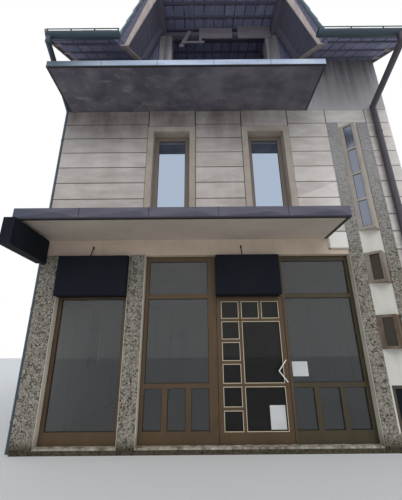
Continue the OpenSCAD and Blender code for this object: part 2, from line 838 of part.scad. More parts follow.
// Heights of the panes of one box window
function box_cuts(level, n) =
    let (clear = level[1] - level[0] - (n + 1) * box_border, h = clear / n)
    [for (k = [0 : n - 1]) let (z = level[0] + box_border + k * (h + box_border)) [z, z + h]];

// One box window: a triangular shell, open to the wall and glazed on its longer face
module box_window(level, n) {
    difference() {
        translate([0, 0, level[0]]) linear_extrude(level[1] - level[0]) polygon([box_a, box_v, box_b]);
        translate([0, 0, level[0] + box_border]) linear_extrude(level[1] - level[0] - 2 * box_border)
            polygon([box_inner(box_a), box_inner(box_v), box_inner(box_b),
                     [box_inner(box_b)[0], margin], [box_inner(box_a)[0], margin]]);
        for (z = box_cuts(level, n))
            translate(box_a) rotate([0, 0, box_turn])
                block([2 * box_border, side_av - box_border], [-margin, box_t + margin], z);
    }
}

module stair_boxes() {
    color("#a9a196") on_front()
        for (k = [0 : len(box_levels) - 1]) box_window(box_levels[k], box_panes[k]);
}

module stair_glass() {
    color("#5f6a70", 0.6) on_front()
        for (k = [0 : len(box_levels) - 1]) for (z = box_cuts(box_levels[k], box_panes[k]))
            translate(box_a) rotate([0, 0, box_turn])
                block([2 * box_border, side_av - box_border], [box_t / 2, box_t / 2 + box_glass_t], z);
}

module stair_wall() {
    color("#d5d2cc") difference() {
        block([stair_x0, stair_x1], [front_y, inner_y], [stair_plinth_h, top_course_z]);
        for (level = box_levels)
            block([box_inner(box_a)[0], box_inner(box_b)[0]], [front_y - margin, inner_y + margin],
                  [level[0] + box_border, level[1] - box_border]);
        block(foot_hole_x, [front_y - margin, inner_y + margin], foot_hole_z);
    }
}

module corner_wall() {
    color("#b3ada2")
        block([corner_x0, right_x], [front_y + panel_t, inner_y], [plinth_h, balcony_z0]);
}

// A gable wall between the front and rear walls, up to the underside of the roof
module gable(x) {
    y0 = inner_y;
    side_slab([[y0, 0], [-y0, 0], [-y0, soffit(y0)], [0, soffit(0)], [y0, soffit(y0)]], x);
}

module left_side_wall() {
    color("#cfc8ba") difference() {
        gable([left_x, left_x + wall_t]);
        block([left_x - margin, left_x + panel_t], [inner_y - margin, margin - inner_y],
              [canopy_z1, balcony_z0]);
        on_left() window_holes(side_windows);
    }
}

module right_side_wall() {
    color("#cfc8ba") gable([right_x - wall_t, right_x]);
}

module rear_wall() {
    y = -inner_y;
    color("#cfc8ba") difference() {
        side_slab([[y, 0], [rear_y, 0], [rear_y, soffit(front_y)], [y, soffit(inner_y)]], [left_x, right_x]);
        on_rear() window_holes(side_windows);
    }
}

module balcony_slab() {
    color("#4b474a") union() {
        block([balcony_x0 + edge_t, balcony_x1 - edge_t], [front_y - balcony_d + edge_t, front_y],
              [balcony_z0, balcony_z1]);
        block([left_x, balcony_x1], [front_y, inner_y], [balcony_z0, balcony_z1]);
    }
}

module balcony_edge() {
    color("#9aa3b5") difference() {
        block([balcony_x0, balcony_x1], [front_y - balcony_d, front_y], [balcony_z0, balcony_z1 + edge_lip]);
        block([balcony_x0 + edge_t, balcony_x1 - edge_t],
              [front_y - balcony_d + edge_t, front_y + margin],
              [balcony_z0 - margin, balcony_z1 + edge_lip + margin]);
    }
}

module attic_floor() {
    color("#9a958b")
        block([left_x + wall_t, right_x - wall_t], [inner_y, rear_y - wall_t], [balcony_z0, balcony_z1]);
}

// Everything that lies above the underside of the main roof's front slope
module above_soffit() {
    side_slab([[eave_y, soffit(eave_y)], [0, soffit(0)], [0, far], [eave_y, far]], [-far, far]);
}

// Everything behind the dormer's front that lies under the dormer roof
module below_shed() {
    side_slab([[dormer_y, 0], [0, 0], [0, shed_under(0)], [dormer_y, shed_under(dormer_y)]], [-far, far]);
}

// The dormer's outline, brought in by an inset on both sides, between two depths
module dormer_outline(inset, y) {
    front_slab([for (p = [[-1, 0], [1, 0], [1, outline_z], [-1, outline_z]])
                [dormer_x + p[0] * (dormer_half(p[1]) - inset), p[1]]], y);
}

// A leaning strip along one cheek, between two distances in from its outer face
module cheek_strip(side, inset, y) {
    front_slab([for (p = [[inset[0], 0], [inset[0], outline_z], [inset[1], outline_z], [inset[1], 0]])
                [dormer_x + side * (dormer_half(p[1]) - p[0]), p[1]]], y);
}

module attic_front_walls() {
    color("#b9b1a4") difference() {
        union() {
            block([left_x, dormer_x - post_x], [front_y, inner_y], [balcony_z1, purlin_z0]);
            block([dormer_x + post_x, right_x], [front_y, inner_y], [balcony_z1, purlin_z0]);
            block([balcony_x1, right_x], [front_y, inner_y], [balcony_z0, balcony_z1]);
        }
        above_soffit();
    }
}

module loggia_posts() {
    color("#aaa59b") for (side = [-1, 1])
        block(side < 0 ? [dormer_x - post_x, dormer_x - loggia_half]
                       : [dormer_x + loggia_half, dormer_x + post_x],
              [front_y, inner_y], [balcony_z1, purlin_z0]);
}

// The boarded walls beside the loggia, and the boards between a post and its cheek
module loggia_side_walls() {
    boards_y = [front_y, front_y + loggia_t];
    color("#4a4038") {
        block([dormer_x - post_x, dormer_x - post_x + loggia_t], [inner_y, back_y], [balcony_z1, purlin_z0]);
        block([dormer_x + post_x - loggia_t, dormer_x + post_x], [inner_y, back_y], [balcony_z1, purlin_z0]);
        intersection() {
            dormer_outline(cheek_t, boards_y);
            above_soffit();
            union() {
                block([-far, dormer_x - post_x], boards_y, [balcony_z1, purlin_z0]);
                block([dormer_x + post_x, far], boards_y, [balcony_z1, purlin_z0]);
            }
        }
    }
}

module loggia_back_wall() {
    y = [back_y, back_y + loggia_t];
    color("#4a4038") intersection() {
        dormer_outline(cheek_t, y);
        below_shed();
        block([dormer_x - post_x, dormer_x + post_x], y, [balcony_z1, far]);
    }
}

// Purlins under the dormer roof, and the studs that carry them along the cheeks
module dormer_timbers() {
    color("#6f5f50") for (side = [-1, 1]) {
        intersection() {
            cheek_strip(side, [cheek_t, cheek_t + purlin_w], [dormer_y, back_y]);
            block([-far, far], [dormer_y, back_y], [purlin_z0, purlin_z1]);
        }
        intersection() {
            cheek_strip(side, [cheek_t, cheek_t + stud_d], [stud_y - stud_w, stud_y]);
            block([-far, far], [dormer_y, front_y], [0, purlin_z0]);
            above_soffit();
        }
    }
}

// The beam between the purlins, behind the boards and over the posts
module loggia_lintel() {
    y = [front_y, front_y + beam_d];
    color("#5a4c40") intersection() {
        dormer_outline(cheek_t + purlin_w, y);
        block([-far, far], y, [purlin_z1 - beam_h, purlin_z1]);
    }
}

// Boards that are left on the lintel: two whole ones, a broken one that hangs and a loose rail
module loggia_boards() {
    y = [front_y - board_t, front_y];
    front = [y[0] - board_t, y[0]];
    foot = purlin_z0 - board_drop;
    rail_z = foot - rail_drop;
    color("#a58d78") {
        block([left_board_x - board_l, left_board_x], y, [foot, foot + board_h]);
        block([right_board_x, right_board_x + board_l], y, [foot, shed_under(y[0]) - board_gap]);
        translate([broken_x, 0, purlin_z1]) rotate([0, 180 + broken_tilt, 0])
            block([-broken_w / 2, broken_w / 2], y, [0, broken_l]);
        block([broken_x - rail_l / 3, broken_x + 2 * rail_l / 3], front, [rail_z, rail_z + rail_h]);
        block([left_board_x - board_l, left_board_x - board_l + rail_h], front, [rail_z, purlin_z0]);
    }
}

// A cheek stands on the main roof's soffit and carries the dormer roof
module cheek(side) {
    intersection() {
        cheek_strip(side, [0, cheek_t], [dormer_y, 0]);
        above_soffit();
        below_shed();
    }
}

module dormer_left_cheek() { color("#77828a") cheek(-1); }
module dormer_right_cheek() { color("#77828a") cheek(1); }

module dormer_roof() {
    color("#77828a") intersection() {
        dormer_outline(0, [dormer_y, 0]);
        above_soffit();
        side_slab([[dormer_y, shed_under(dormer_y)], [dormer_y, shed_top(dormer_y)],
                   [0, shed_top(0)], [0, shed_under(0)]], [-far, far]);
    }
}

// Boards along the front edges of the cheeks and the roof, narrower at the feet of the cheeks
module front_boards(y, z) {
    inset = barge_w - barge_foot_w;
    difference() {
        front_slab([for (p = [[-1, z[0], inset], [1, z[0], inset], [1, z[1], 0], [-1, z[1], 0]])
                    [dormer_x + p[0] * (dormer_half(p[1]) - p[2]), p[1]]], y);
        intersection() {
            dormer_outline(barge_w, [y[0] - margin, y[1] + margin]);
            block([-far, far], [y[0] - margin, y[1] + margin], [0, z[1] - barge_w]);
        }
    }
}

// The front boards, and boards under the feet of the cheeks
module bargeboards() {
    color("#b09a8e") {
        front_boards([dormer_y - barge_t, dormer_y], [soffit(dormer_y) - 2 * barge_t, shed_top(dormer_y)]);
        for (side = [-1, 1]) intersection() {
            cheek_strip(side, [0, cheek_t], [dormer_y, stud_y]);
            side_slab([[eave_y, soffit(eave_y) - barge_t], [0, soffit(0) - barge_t], [0, soffit(0)],
                       [eave_y, soffit(eave_y)]], [-far, far]);
        }
    }
}

// The front slope between two widths, with the dormer cut out of it
module front_slope(x) {
    difference() {
        side_slab([[eave_y, soffit(eave_y)], [0, soffit(0)], [0, roof_top(0)],
                   [eave_y, roof_top(eave_y)]], x);
        intersection() {
            dormer_outline(0, [-far, 0]);
            side_slab([[-far, 0], [0, 0], [0, shed_top(0)], [dormer_y, shed_top(dormer_y)],
                       [-far, shed_top(dormer_y)]], [-far, far]);
        }
    }
}

// Where the dormer roof's upper edge runs out on the main roof
roof_split = dormer_half(shed_top(shed_top_end));

module roof_front_left() { color("#7d6a60") front_slope([left_x, dormer_x - roof_split]); }
module roof_front_right() { color("#7d6a60") front_slope([dormer_x + roof_split, right_x]); }
module roof_front_top() { color("#7d6a60") front_slope([dormer_x - roof_split, dormer_x + roof_split]); }

module roof_rear() {
    color("#7d6a60")
        side_slab([[0, soffit(0)], [-eave_y, soffit(eave_y)], [-eave_y, roof_top(eave_y)], [0, roof_top(0)]],
                  [left_x, right_x]);
}

module ridge_tiles() {
    color("#7d6a60") difference() {
        translate([left_x, 0, roof_top(0) - ridge_sink]) rotate([0, 90, 0]) cylinder(r = ridge_r, h = body_w);
        side_slab([[eave_y, roof_top(eave_y)], [0, roof_top(0)], [-eave_y, roof_top(eave_y)],
                   [-eave_y, 0], [eave_y, 0]], [left_x - margin, right_x + margin]);
    }
}

// A half-round gutter with closed ends, its back edge turned up to the soffit
module gutter(x) {
    back = gutter_y + gutter_r;
    translate([0, gutter_y, gutter_z]) difference() {
        translate([x[0], 0, 0]) rotate([0, 90, 0]) cylinder(r = gutter_r, h = x[1] - x[0]);
        translate([x[0] + gutter_t, 0, 0]) rotate([0, 90, 0])
            cylinder(r = gutter_r - gutter_t, h = x[1] - x[0] - 2 * gutter_t);
        block([x[0] - margin, x[1] + margin], [-gutter_r - margin, gutter_r + margin],
              [0, gutter_r + margin]);
    }
    side_slab([[back - gutter_t, gutter_z - gutter_t], [back, gutter_z - gutter_t], [back, soffit(back)],
               [back - gutter_t, soffit(back - gutter_t)]], x);
}

left_gutter_x = [left_x + gutter_end, dormer_x - dormer_half(gutter_z) + left_gutter_lap];
right_gutter_x = [dormer_x + dormer_half(gutter_z) - right_gutter_lap, right_x - gutter_end];

module gutters() {
    color("#6e8082") {
        gutter(left_gutter_x);
        gutter(right_gutter_x);
        mirror([0, 1, 0]) gutter([left_x + gutter_end, right_x - gutter_end]);
    }
}

// A straight pipe between two points
module pipe(a, b, r) {
    d = b - a;
    translate(a) rotate([0, acos(d[2] / norm(d)), atan2(d[1], d[0])]) cylinder(r = r, h = norm(d));
}

// A downpipe from the gutter over two elbows and down the wall, with its clips
module downpipe(top, knee, r, toward) {
    bend = [top[0], top[1], top[2] - gutter_r - 2 * r];
    difference() {
        union() {
            pipe(bend, top, r);
            pipe(bend, knee, r);
            pipe([knee[0], knee[1], 0], knee, r);
            for (p = [bend, knee]) translate(p) sphere(r = r + elbow_t);
            clips(knee[0], knee[1], r, toward);
        }
        gutter_cut();
    }
}

// The cut that seats a pipe's top against the gutter's round underside
module gutter_cut() {
    translate([-far, gutter_y, gutter_z]) rotate([0, 90, 0]) cylinder(r = gutter_r, h = 2 * far);
}

// Clips round an upright pipe, each with a stub to the wall along the given direction
module clips(x, y, r, toward) {
    for (z = clip_levels) translate([x, y, z]) {
        cylinder(r = r + clip_t, h = clip_h);
        rotate([0, 0, toward]) block([0, r + pipe_gap], [-clip_h / 2, clip_h / 2], [0, clip_h]);
    }
}

module left_downpipe() {
    color("#6e8082") downpipe([left_pipe_top_x, gutter_y, gutter_z],
                              [left_pipe_wall_x, left_pipe_y, balcony_z1], left_pipe_r, 0);
}

module right_downpipe() {
    color("#4a4048") downpipe([right_pipe_wall_x, gutter_y, gutter_z],
                              [right_pipe_wall_x, right_pipe_wall_y, balcony_z0], right_pipe_r, 90);
}

plinth();
ground_slab();
piers();
pilasters();
shop_reveals();
lintel_beam();
left_window_frame();
left_display_frame();
door_frame();
right_display_frame();
shop_glass();
door_hinges();
shop_door();
door_glass();
door_beads();
door_handle();
sign_boards();
projecting_sign();
canopy_slab();
canopy_fascia();
first_floor_slab();
upper_front_wall();
wall_panels();
window_surrounds();
window_frames();
window_glass();
stair_wall();
stair_boxes();
stair_glass();
corner_wall();
left_side_wall();
right_side_wall();
rear_wall();
balcony_slab();
balcony_edge();
attic_floor();
attic_front_walls();
loggia_posts();
loggia_side_walls();
loggia_back_wall();
loggia_lintel();
loggia_boards();
dormer_left_cheek();
dormer_right_cheek();
dormer_roof();
bargeboards();
dormer_timbers();
roof_front_left();
roof_front_right();
roof_front_top();
roof_rear();
ridge_tiles();
gutters();
left_downpipe();
right_downpipe();
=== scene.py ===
# Looks of the corner shop building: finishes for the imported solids, roof tiles and the small trim on them.
# Everything is in metres, in the model's own frame: the street front looks along -Y and +Z is up.
import math
import random

import bmesh
import bpy
from mathutils import Matrix, Vector


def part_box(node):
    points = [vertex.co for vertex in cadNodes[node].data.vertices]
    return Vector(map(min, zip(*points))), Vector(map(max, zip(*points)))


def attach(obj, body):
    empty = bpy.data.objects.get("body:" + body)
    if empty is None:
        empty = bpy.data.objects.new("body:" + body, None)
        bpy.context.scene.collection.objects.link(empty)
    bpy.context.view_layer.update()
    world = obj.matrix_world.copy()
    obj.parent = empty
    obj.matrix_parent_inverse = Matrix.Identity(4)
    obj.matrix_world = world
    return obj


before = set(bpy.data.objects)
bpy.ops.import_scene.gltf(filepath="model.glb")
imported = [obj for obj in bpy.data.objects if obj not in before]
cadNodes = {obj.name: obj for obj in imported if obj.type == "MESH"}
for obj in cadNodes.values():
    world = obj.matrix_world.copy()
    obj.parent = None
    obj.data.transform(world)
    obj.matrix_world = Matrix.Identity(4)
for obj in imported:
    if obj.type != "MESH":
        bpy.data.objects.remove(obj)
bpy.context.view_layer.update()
scene = bpy.context.scene
random.seed(7)
print("stage: model loaded,", len(cadNodes), "nodes")

# Camera, light and floor

cameraView = {
    "place": (-0.585, -8.65, 1.43),  # at eye level, across the pavement
    "pitch": 19.0,
    "roll": -0.48,
    "lens": 20.88,  # mm, on a sensor that is 36 mm wide
    "sensor": 36.0,
    "reach": 400.0,
}

light = {
    "sky": 0.74,
    "skyTint": "#dfe8f8",
    "sunPower": 1.25,
    "sunTint": "#ffffff",
    "sunAngle": 60.0,  # degrees across, as soft as an overcast sky
    "sunTurn": (40.0, 0.0, 20.0),
    "floorTint": "#d9d8d4",
    "floorRoughness": 0.9,
    "floorSize": 120.0,
}


def linear(hexColour):
    parts = [int(hexColour[i:i + 2], 16) / 255 for i in (1, 3, 5)]
    return tuple(c / 12.92 if c <= 0.04045 else ((c + 0.055) / 1.055) ** 2.4 for c in parts) + (1.0,)


def addNode(tree, kind, settings=None, inputs=None):
    node = tree.nodes.new(kind)
    for name, value in (settings or {}).items():
        setattr(node, name, value)
    for name, value in (inputs or {}).items():
        if isinstance(value, bpy.types.NodeSocket):
            tree.links.new(value, node.inputs[name])
        else:
            node.inputs[name].default_value = value
    return node


camera = bpy.data.objects.new("streetCamera", bpy.data.cameras.new("streetCamera"))
camera.data.sensor_width = cameraView["sensor"]
camera.data.lens = cameraView["lens"]
camera.data.clip_end = cameraView["reach"]
camera.matrix_world = (
    Matrix.Translation(cameraView["place"])
    @ Matrix.Rotation(math.radians(90 + cameraView["pitch"]), 4, "X")
    @ Matrix.Rotation(math.radians(cameraView["roll"]), 4, "Z")
)
scene.collection.objects.link(camera)
scene.camera = camera
scene.view_settings.view_transform = "Standard"

sun = bpy.data.objects.new("softSun", bpy.data.lights.new("softSun", "SUN"))
sun.data.energy = light["sunPower"]
sun.data.angle = math.radians(light["sunAngle"])
sun.data.color = linear(light["sunTint"])[:3]
sun.rotation_euler = [math.radians(a) for a in light["sunTurn"]]
sun.visible_glossy = False  # panes mirror the pale sky, not the lamp
scene.collection.objects.link(sun)

world = bpy.data.worlds.new("paleSky")
world.use_nodes = True
scene.world = world
sky = world.node_tree
sky.nodes.clear()
rays = addNode(sky, "ShaderNodeLightPath")
seen = addNode(sky, "ShaderNodeMath", {"operation": "ADD"},
               {0: rays.outputs["Is Camera Ray"], 1: rays.outputs["Is Glossy Ray"]})
seenAll = addNode(sky, "ShaderNodeMath", {"operation": "ADD", "use_clamp": True},
                  {0: seen.outputs[0], 1: rays.outputs["Is Transmission Ray"]})
dim = addNode(sky, "ShaderNodeBackground", None,
              {"Color": linear(light["skyTint"]), "Strength": light["sky"]})
white = addNode(sky, "ShaderNodeBackground", None, {"Color": (1, 1, 1, 1), "Strength": 1.0})
blend = addNode(sky, "ShaderNodeMixShader", None,
                {0: seenAll.outputs[0], 1: dim.outputs[0], 2: white.outputs[0]})
addNode(sky, "ShaderNodeOutputWorld", None, {"Surface": blend.outputs[0]})

floorShape = bmesh.new()
bmesh.ops.create_grid(floorShape, x_segments=1, y_segments=1, size=light["floorSize"] / 2)
floorData = bpy.data.meshes.new("studioFloor")
floorShape.to_mesh(floorData)
floorShape.free()
studioFloor = bpy.data.objects.new("studioFloor", floorData)
scene.collection.objects.link(studioFloor)
floorMaterial = bpy.data.materials.new("paleFloor")
floorMaterial.use_nodes = True
floorShader = floorMaterial.node_tree.nodes["Principled BSDF"]
floorShader.inputs["Base Color"].default_value = linear(light["floorTint"])
floorShader.inputs["Roughness"].default_value = light["floorRoughness"]
floorData.materials.append(floorMaterial)
print("stage: camera and light ready")

# Finishes. Pattern scales are in 1/m for each axis, so 60 gives features of about 17 mm. In a Mix node of
# colours, input 0 is the factor, 6 and 7 are the two colours, and output 2 is the result.


def newFinish(name, colour, roughness, metallic=0.0):
    material = bpy.data.materials.new(name)
    material.use_nodes = True
    tree = material.node_tree
    shader = tree.nodes["Principled BSDF"]
    shader.inputs["Base Color"].default_value = linear(colour)
    shader.inputs["Roughness"].default_value = roughness
    shader.inputs["Metallic"].default_value = metallic
    return material, tree, shader


# A share that grows between two places along one axis, as stains do towards their source and painted shade
# does towards what casts it.
def growing(tree, coords, span):
    axes = addNode(tree, "ShaderNodeSeparateXYZ", None, {0: coords.outputs["Object"]})
    share = addNode(tree, "ShaderNodeMapRange", None,
                    {"Value": axes.outputs["XYZ".index(span["axis"])],
                     "From Min": span["from"], "From Max": span["to"],
                     "To Min": span.get("least", 0.0), "To Max": span.get("most", 1.0)})
    return share.outputs[0]


# Cast, rendered or plastered surfaces: two tones, at will a tone for each loose part, stains that may grow
# towards a side, and a fine grain. On some surfaces the stain colour also carries painted shade.
def mineral(name, base, second, stainAndShade, look):
    material, tree, shader = newFinish(name, base, 0.9)
    coords = addNode(tree, "ShaderNodeTexCoord")
    toneAt = addNode(tree, "ShaderNodeMapping", None,
                     {"Vector": coords.outputs["Object"], "Scale": look["tone"]})
    tone = addNode(tree, "ShaderNodeTexNoise", None,
                   {"Vector": toneAt.outputs[0], "Scale": 1.0, "Detail": 4.0, "Roughness": 0.6})
    toneStep = addNode(tree, "ShaderNodeMapRange", None,
                       {"Value": tone.outputs[0], "From Min": 0.35, "From Max": 0.65})
    twoTone = addNode(tree, "ShaderNodeMix", {"data_type": "RGBA"},
                      {0: toneStep.outputs[0], 6: linear(base), 7: linear(second)})
    if "each" in look:
        islands = addNode(tree, "ShaderNodeNewGeometry")
        eachStep = addNode(tree, "ShaderNodeMapRange", None,
                           {"Value": islands.outputs["Random Per Island"], "To Max": look["each"]})
        twoTone = addNode(tree, "ShaderNodeMix", {"data_type": "RGBA"},
                          {0: eachStep.outputs[0], 6: twoTone.outputs[2], 7: linear(stainAndShade)})
    streakAt = addNode(tree, "ShaderNodeMapping", None,
                       {"Vector": coords.outputs["Object"], "Scale": look["streak"]})
    streak = addNode(tree, "ShaderNodeTexNoise", None,
                     {"Vector": streakAt.outputs[0], "Scale": 1.0, "Detail": 5.0, "Roughness": 0.65})
    streakStep = addNode(tree, "ShaderNodeMapRange", None,
                         {"Value": streak.outputs[0], "From Min": look.get("clean", 0.5), "From Max": 0.75,
                          "To Max": look.get("stainAndShadeShare", 0.5)})
    amount = streakStep.outputs[0]
    for span in look.get("fades", ()):
        amount = addNode(tree, "ShaderNodeMath", {"operation": "MULTIPLY"},
                         {0: amount, 1: growing(tree, coords, span)}).outputs[0]
    stainedAndShaded = addNode(tree, "ShaderNodeMix", {"data_type": "RGBA"},
                      {0: amount, 6: twoTone.outputs[2], 7: linear(stainAndShade)})
    tree.links.new(stainedAndShaded.outputs[2], shader.inputs["Base Color"])
    grainAt = addNode(tree, "ShaderNodeMapping", None,
                      {"Vector": coords.outputs["Object"], "Scale": look["grain"]})
    grain = addNode(tree, "ShaderNodeTexNoise", None,
                    {"Vector": grainAt.outputs[0], "Scale": 1.0, "Detail": 3.0})
    bump = addNode(tree, "ShaderNodeBump", None,
                   {"Height": grain.outputs[0], "Strength": look.get("bump", 0.25), "Distance": 0.004})
    tree.links.new(bump.outputs[0], shader.inputs["Normal"])
    return material


# Washed aggregate concrete: broken stones of 15 to 30 mm, some in dark clusters, in a sandy paste,
# soiled at the foot and filmed with lime higher up.
def washedAggregate(look):
    material, tree, shader = newFinish("washedAggregate", look["stone"], 0.8)
    coords = addNode(tree, "ShaderNodeTexCoord")
    ragged = addNode(tree, "ShaderNodeTexNoise", None,
                     {"Vector": coords.outputs["Object"], "Scale": look["stones"] * 1.2, "Detail": 1.0})
    broken = addNode(tree, "ShaderNodeVectorMath", {"operation": "MULTIPLY_ADD"},
                     {0: ragged.outputs["Color"], 1: (look["ragged"],) * 3, 2: coords.outputs["Object"]})
    pebbles = addNode(tree, "ShaderNodeTexVoronoi", None,
                      {"Vector": broken.outputs[0], "Scale": look["stones"]})
    pick = addNode(tree, "ShaderNodeSeparateColor", None, {"Color": pebbles.outputs["Color"]})
    clusters = addNode(tree, "ShaderNodeTexNoise", None, {"Vector": coords.outputs["Object"], "Scale": 14.0})
    share = addNode(tree, "ShaderNodeMapRange", None,
                    {"Value": clusters.outputs[0], "From Min": 0.25, "From Max": 0.75,
                     "To Max": look["darkShare"]})
    dark = addNode(tree, "ShaderNodeMath", {"operation": "LESS_THAN"},
                   {0: pick.outputs[0], 1: share.outputs[0]})
    pale = addNode(tree, "ShaderNodeMath", {"operation": "GREATER_THAN"},
                   {0: pick.outputs[1], 1: 1 - look["paleShare"]})
    buff = addNode(tree, "ShaderNodeMix", {"data_type": "RGBA"},
                   {0: pale.outputs[0], 6: linear(look["stone"]), 7: linear(look["pale"])})
    stones = addNode(tree, "ShaderNodeMix", {"data_type": "RGBA"},
                     {0: dark.outputs[0], 6: buff.outputs[2], 7: linear(look["dark"])})
    edge = addNode(tree, "ShaderNodeMapRange", None,
                   {"Value": pebbles.outputs["Distance"], "From Min": 0.45, "From Max": 0.75})
    paste = addNode(tree, "ShaderNodeMix", {"data_type": "RGBA"},
                    {0: edge.outputs[0], 6: stones.outputs[2], 7: linear(look["paste"])})
    soiled = addNode(tree, "ShaderNodeMix", {"data_type": "RGBA", "blend_type": "MULTIPLY"},
                     {0: growing(tree, coords, look["soiled"]), 6: paste.outputs[2],
                      7: linear(look["soil"])})
    limed = addNode(tree, "ShaderNodeMix", {"data_type": "RGBA"},
                    {0: growing(tree, coords, look["limed"]), 6: soiled.outputs[2], 7: linear(look["lime"])})
    tree.links.new(limed.outputs[2], shader.inputs["Base Color"])
    bump = addNode(tree, "ShaderNodeBump", {"invert": True},
                   {"Height": pebbles.outputs["Distance"], "Strength": 0.5, "Distance": 0.005})
    tree.links.new(bump.outputs[0], shader.inputs["Normal"])
    return material


# Painted or anodised sheet: one tone with clouds of dust that also dull it, soft dents, and at will
# another paint towards one end, such as near the ground.
def sheetMetal(name, colour, dust, look):
    material, tree, shader = newFinish(name, colour, look["roughness"], look.get("metallic", 0.0))
    shader.inputs["IOR"].default_value = look.get("sheen", 1.5)
    coords = addNode(tree, "ShaderNodeTexCoord")
    cloudAt = addNode(tree, "ShaderNodeMapping", None,
                      {"Vector": coords.outputs["Object"], "Scale": look["tone"]})
    cloud = addNode(tree, "ShaderNodeTexNoise", None,
                    {"Vector": cloudAt.outputs[0], "Scale": 1.0, "Detail": 4.0, "Roughness": 0.6})
    cloudStep = addNode(tree, "ShaderNodeMapRange", None,
                        {"Value": cloud.outputs[0], "From Min": 0.4, "From Max": 0.7,
                         "To Max": look.get("dusty", 0.4)})
    paint = addNode(tree, "ShaderNodeMix", {"data_type": "RGBA"},
                    {0: cloudStep.outputs[0], 6: linear(colour), 7: linear(dust)})
    if "lowPaint" in look:
        paint = addNode(tree, "ShaderNodeMix", {"data_type": "RGBA"},
                        {0: growing(tree, coords, look["low"]), 6: paint.outputs[2],
                         7: linear(look["lowPaint"])})
    tree.links.new(paint.outputs[2], shader.inputs["Base Color"])
    rub = addNode(tree, "ShaderNodeMapRange", None,
                  {"Value": cloud.outputs[0], "From Min": 0.3, "From Max": 0.7,
                   "To Min": look["roughness"] - 0.08, "To Max": look["roughness"] + 0.12})
    tree.links.new(rub.outputs[0], shader.inputs["Roughness"])
    dentsAt = addNode(tree, "ShaderNodeMapping", None,
                      {"Vector": coords.outputs["Object"], "Scale": look.get("dents", (3, 3, 3))})
    dents = addNode(tree, "ShaderNodeTexNoise", None,
                    {"Vector": dentsAt.outputs[0], "Scale": 1.0, "Detail": 1.0})
    bump = addNode(tree, "ShaderNodeBump", None,
                   {"Height": dents.outputs[0], "Strength": look.get("bump", 0.2), "Distance": 0.02})
    tree.links.new(bump.outputs[0], shader.inputs["Normal"])
    return material


# Float glass: it mirrors the sky, blurred where a film of dust lies, and shows the dim room by its alpha.
def floatGlass(name, colour, look):
    material, tree, shader = newFinish(name, colour, look["roughness"])
    coords = addNode(tree, "ShaderNodeTexCoord")
    film = addNode(tree, "ShaderNodeTexNoise", None,
                   {"Vector": coords.outputs["Object"], "Scale": 1.5, "Detail": 3.0})
    filmStep = addNode(tree, "ShaderNodeMapRange", None,
                       {"Value": film.outputs[0], "From Min": 0.35, "From Max": 0.75,
                        "To Min": look["roughness"], "To Max": look["roughness"] * 3})
    tree.links.new(filmStep.outputs[0], shader.inputs["Roughness"])
    shader.inputs["IOR"].default_value = look["sheen"]
    shader.inputs["Alpha"].default_value = look["alpha"]
    return material


# Reflective insulating glass, hardly wavy: upstairs the pale sky shows in it, near the ground it is dark.
def coatedGlass(name, colour, look):
    material, tree, shader = newFinish(name, colour, look["roughness"], look["metallic"])
    coords = addNode(tree, "ShaderNodeTexCoord")
    toned = addNode(tree, "ShaderNodeMix", {"data_type": "RGBA"},
                    {0: growing(tree, coords, look["low"]), 6: linear(colour), 7: linear(look["lowTone"])})
    tree.links.new(toned.outputs[2], shader.inputs["Base Color"])
    haze = addNode(tree, "ShaderNodeTexNoise", None,
                   {"Vector": coords.outputs["Object"], "Scale": 0.7, "Detail": 2.0})
    bump = addNode(tree, "ShaderNodeBump", None,
                   {"Height": haze.outputs[0], "Strength": 0.03, "Distance": 0.02})
    tree.links.new(bump.outputs[0], shader.inputs["Normal"])
    return material


# Old softwood: grain along one axis, greyed and darkened by weather, with or without joints between boards.
# Boards in the shade are given colours painted bluish and lighter for the light there.
def oldWood(name, colour, grey, look):
    material, tree, shader = newFinish(name, colour, 0.82)
    coords = addNode(tree, "ShaderNodeTexCoord")
    stretch = [2.5 if axis == look["along"] else 38 for axis in "XYZ"]
    grainAt = addNode(tree, "ShaderNodeMapping", None,
                      {"Vector": coords.outputs["Object"], "Scale": stretch})
    grain = addNode(tree, "ShaderNodeTexNoise", None,
                    {"Vector": grainAt.outputs[0], "Scale": 1.0, "Detail": 6.0, "Roughness": 0.7})
    step = addNode(tree, "ShaderNodeMapRange", None,
                   {"Value": grain.outputs[0], "From Min": 0.38, "From Max": 0.68})
    surface = addNode(tree, "ShaderNodeMix", {"data_type": "RGBA"},
                      {0: step.outputs[0], 6: linear(colour), 7: linear(grey)})
    if "board" in look:
        axes = addNode(tree, "ShaderNodeSeparateXYZ", None, {0: coords.outputs["Object"]})
        run = addNode(tree, "ShaderNodeMath", {"operation": "DIVIDE"},
                      {0: axes.outputs["XYZ".index(look["across"])], 1: look["board"]})
        count = addNode(tree, "ShaderNodeMath", {"operation": "FLOOR"}, {0: run.outputs[0]})
        each = addNode(tree, "ShaderNodeTexWhiteNoise", {"noise_dimensions": "1D"}, {"W": count.outputs[0]})
        eachStep = addNode(tree, "ShaderNodeMapRange", None, {"Value": each.outputs["Value"], "To Max": 0.5})
        toned = addNode(tree, "ShaderNodeMix", {"data_type": "RGBA"},
                        {0: eachStep.outputs[0], 6: surface.outputs[2], 7: linear(grey)})
        across = addNode(tree, "ShaderNodeMath", {"operation": "FRACT"}, {0: run.outputs[0]})
        joint = addNode(tree, "ShaderNodeMath", {"operation": "LESS_THAN"},
                        {0: across.outputs[0], 1: look["joint"] / look["board"]})
        surface = addNode(tree, "ShaderNodeMix", {"data_type": "RGBA"},
                          {0: joint.outputs[0], 6: toned.outputs[2], 7: linear(look["gap"])})
    tree.links.new(surface.outputs[2], shader.inputs["Base Color"])
    bump = addNode(tree, "ShaderNodeBump", None,
                   {"Height": grain.outputs[0], "Strength": 0.35, "Distance": 0.003})
    tree.links.new(bump.outputs[0], shader.inputs["Normal"])
    return material
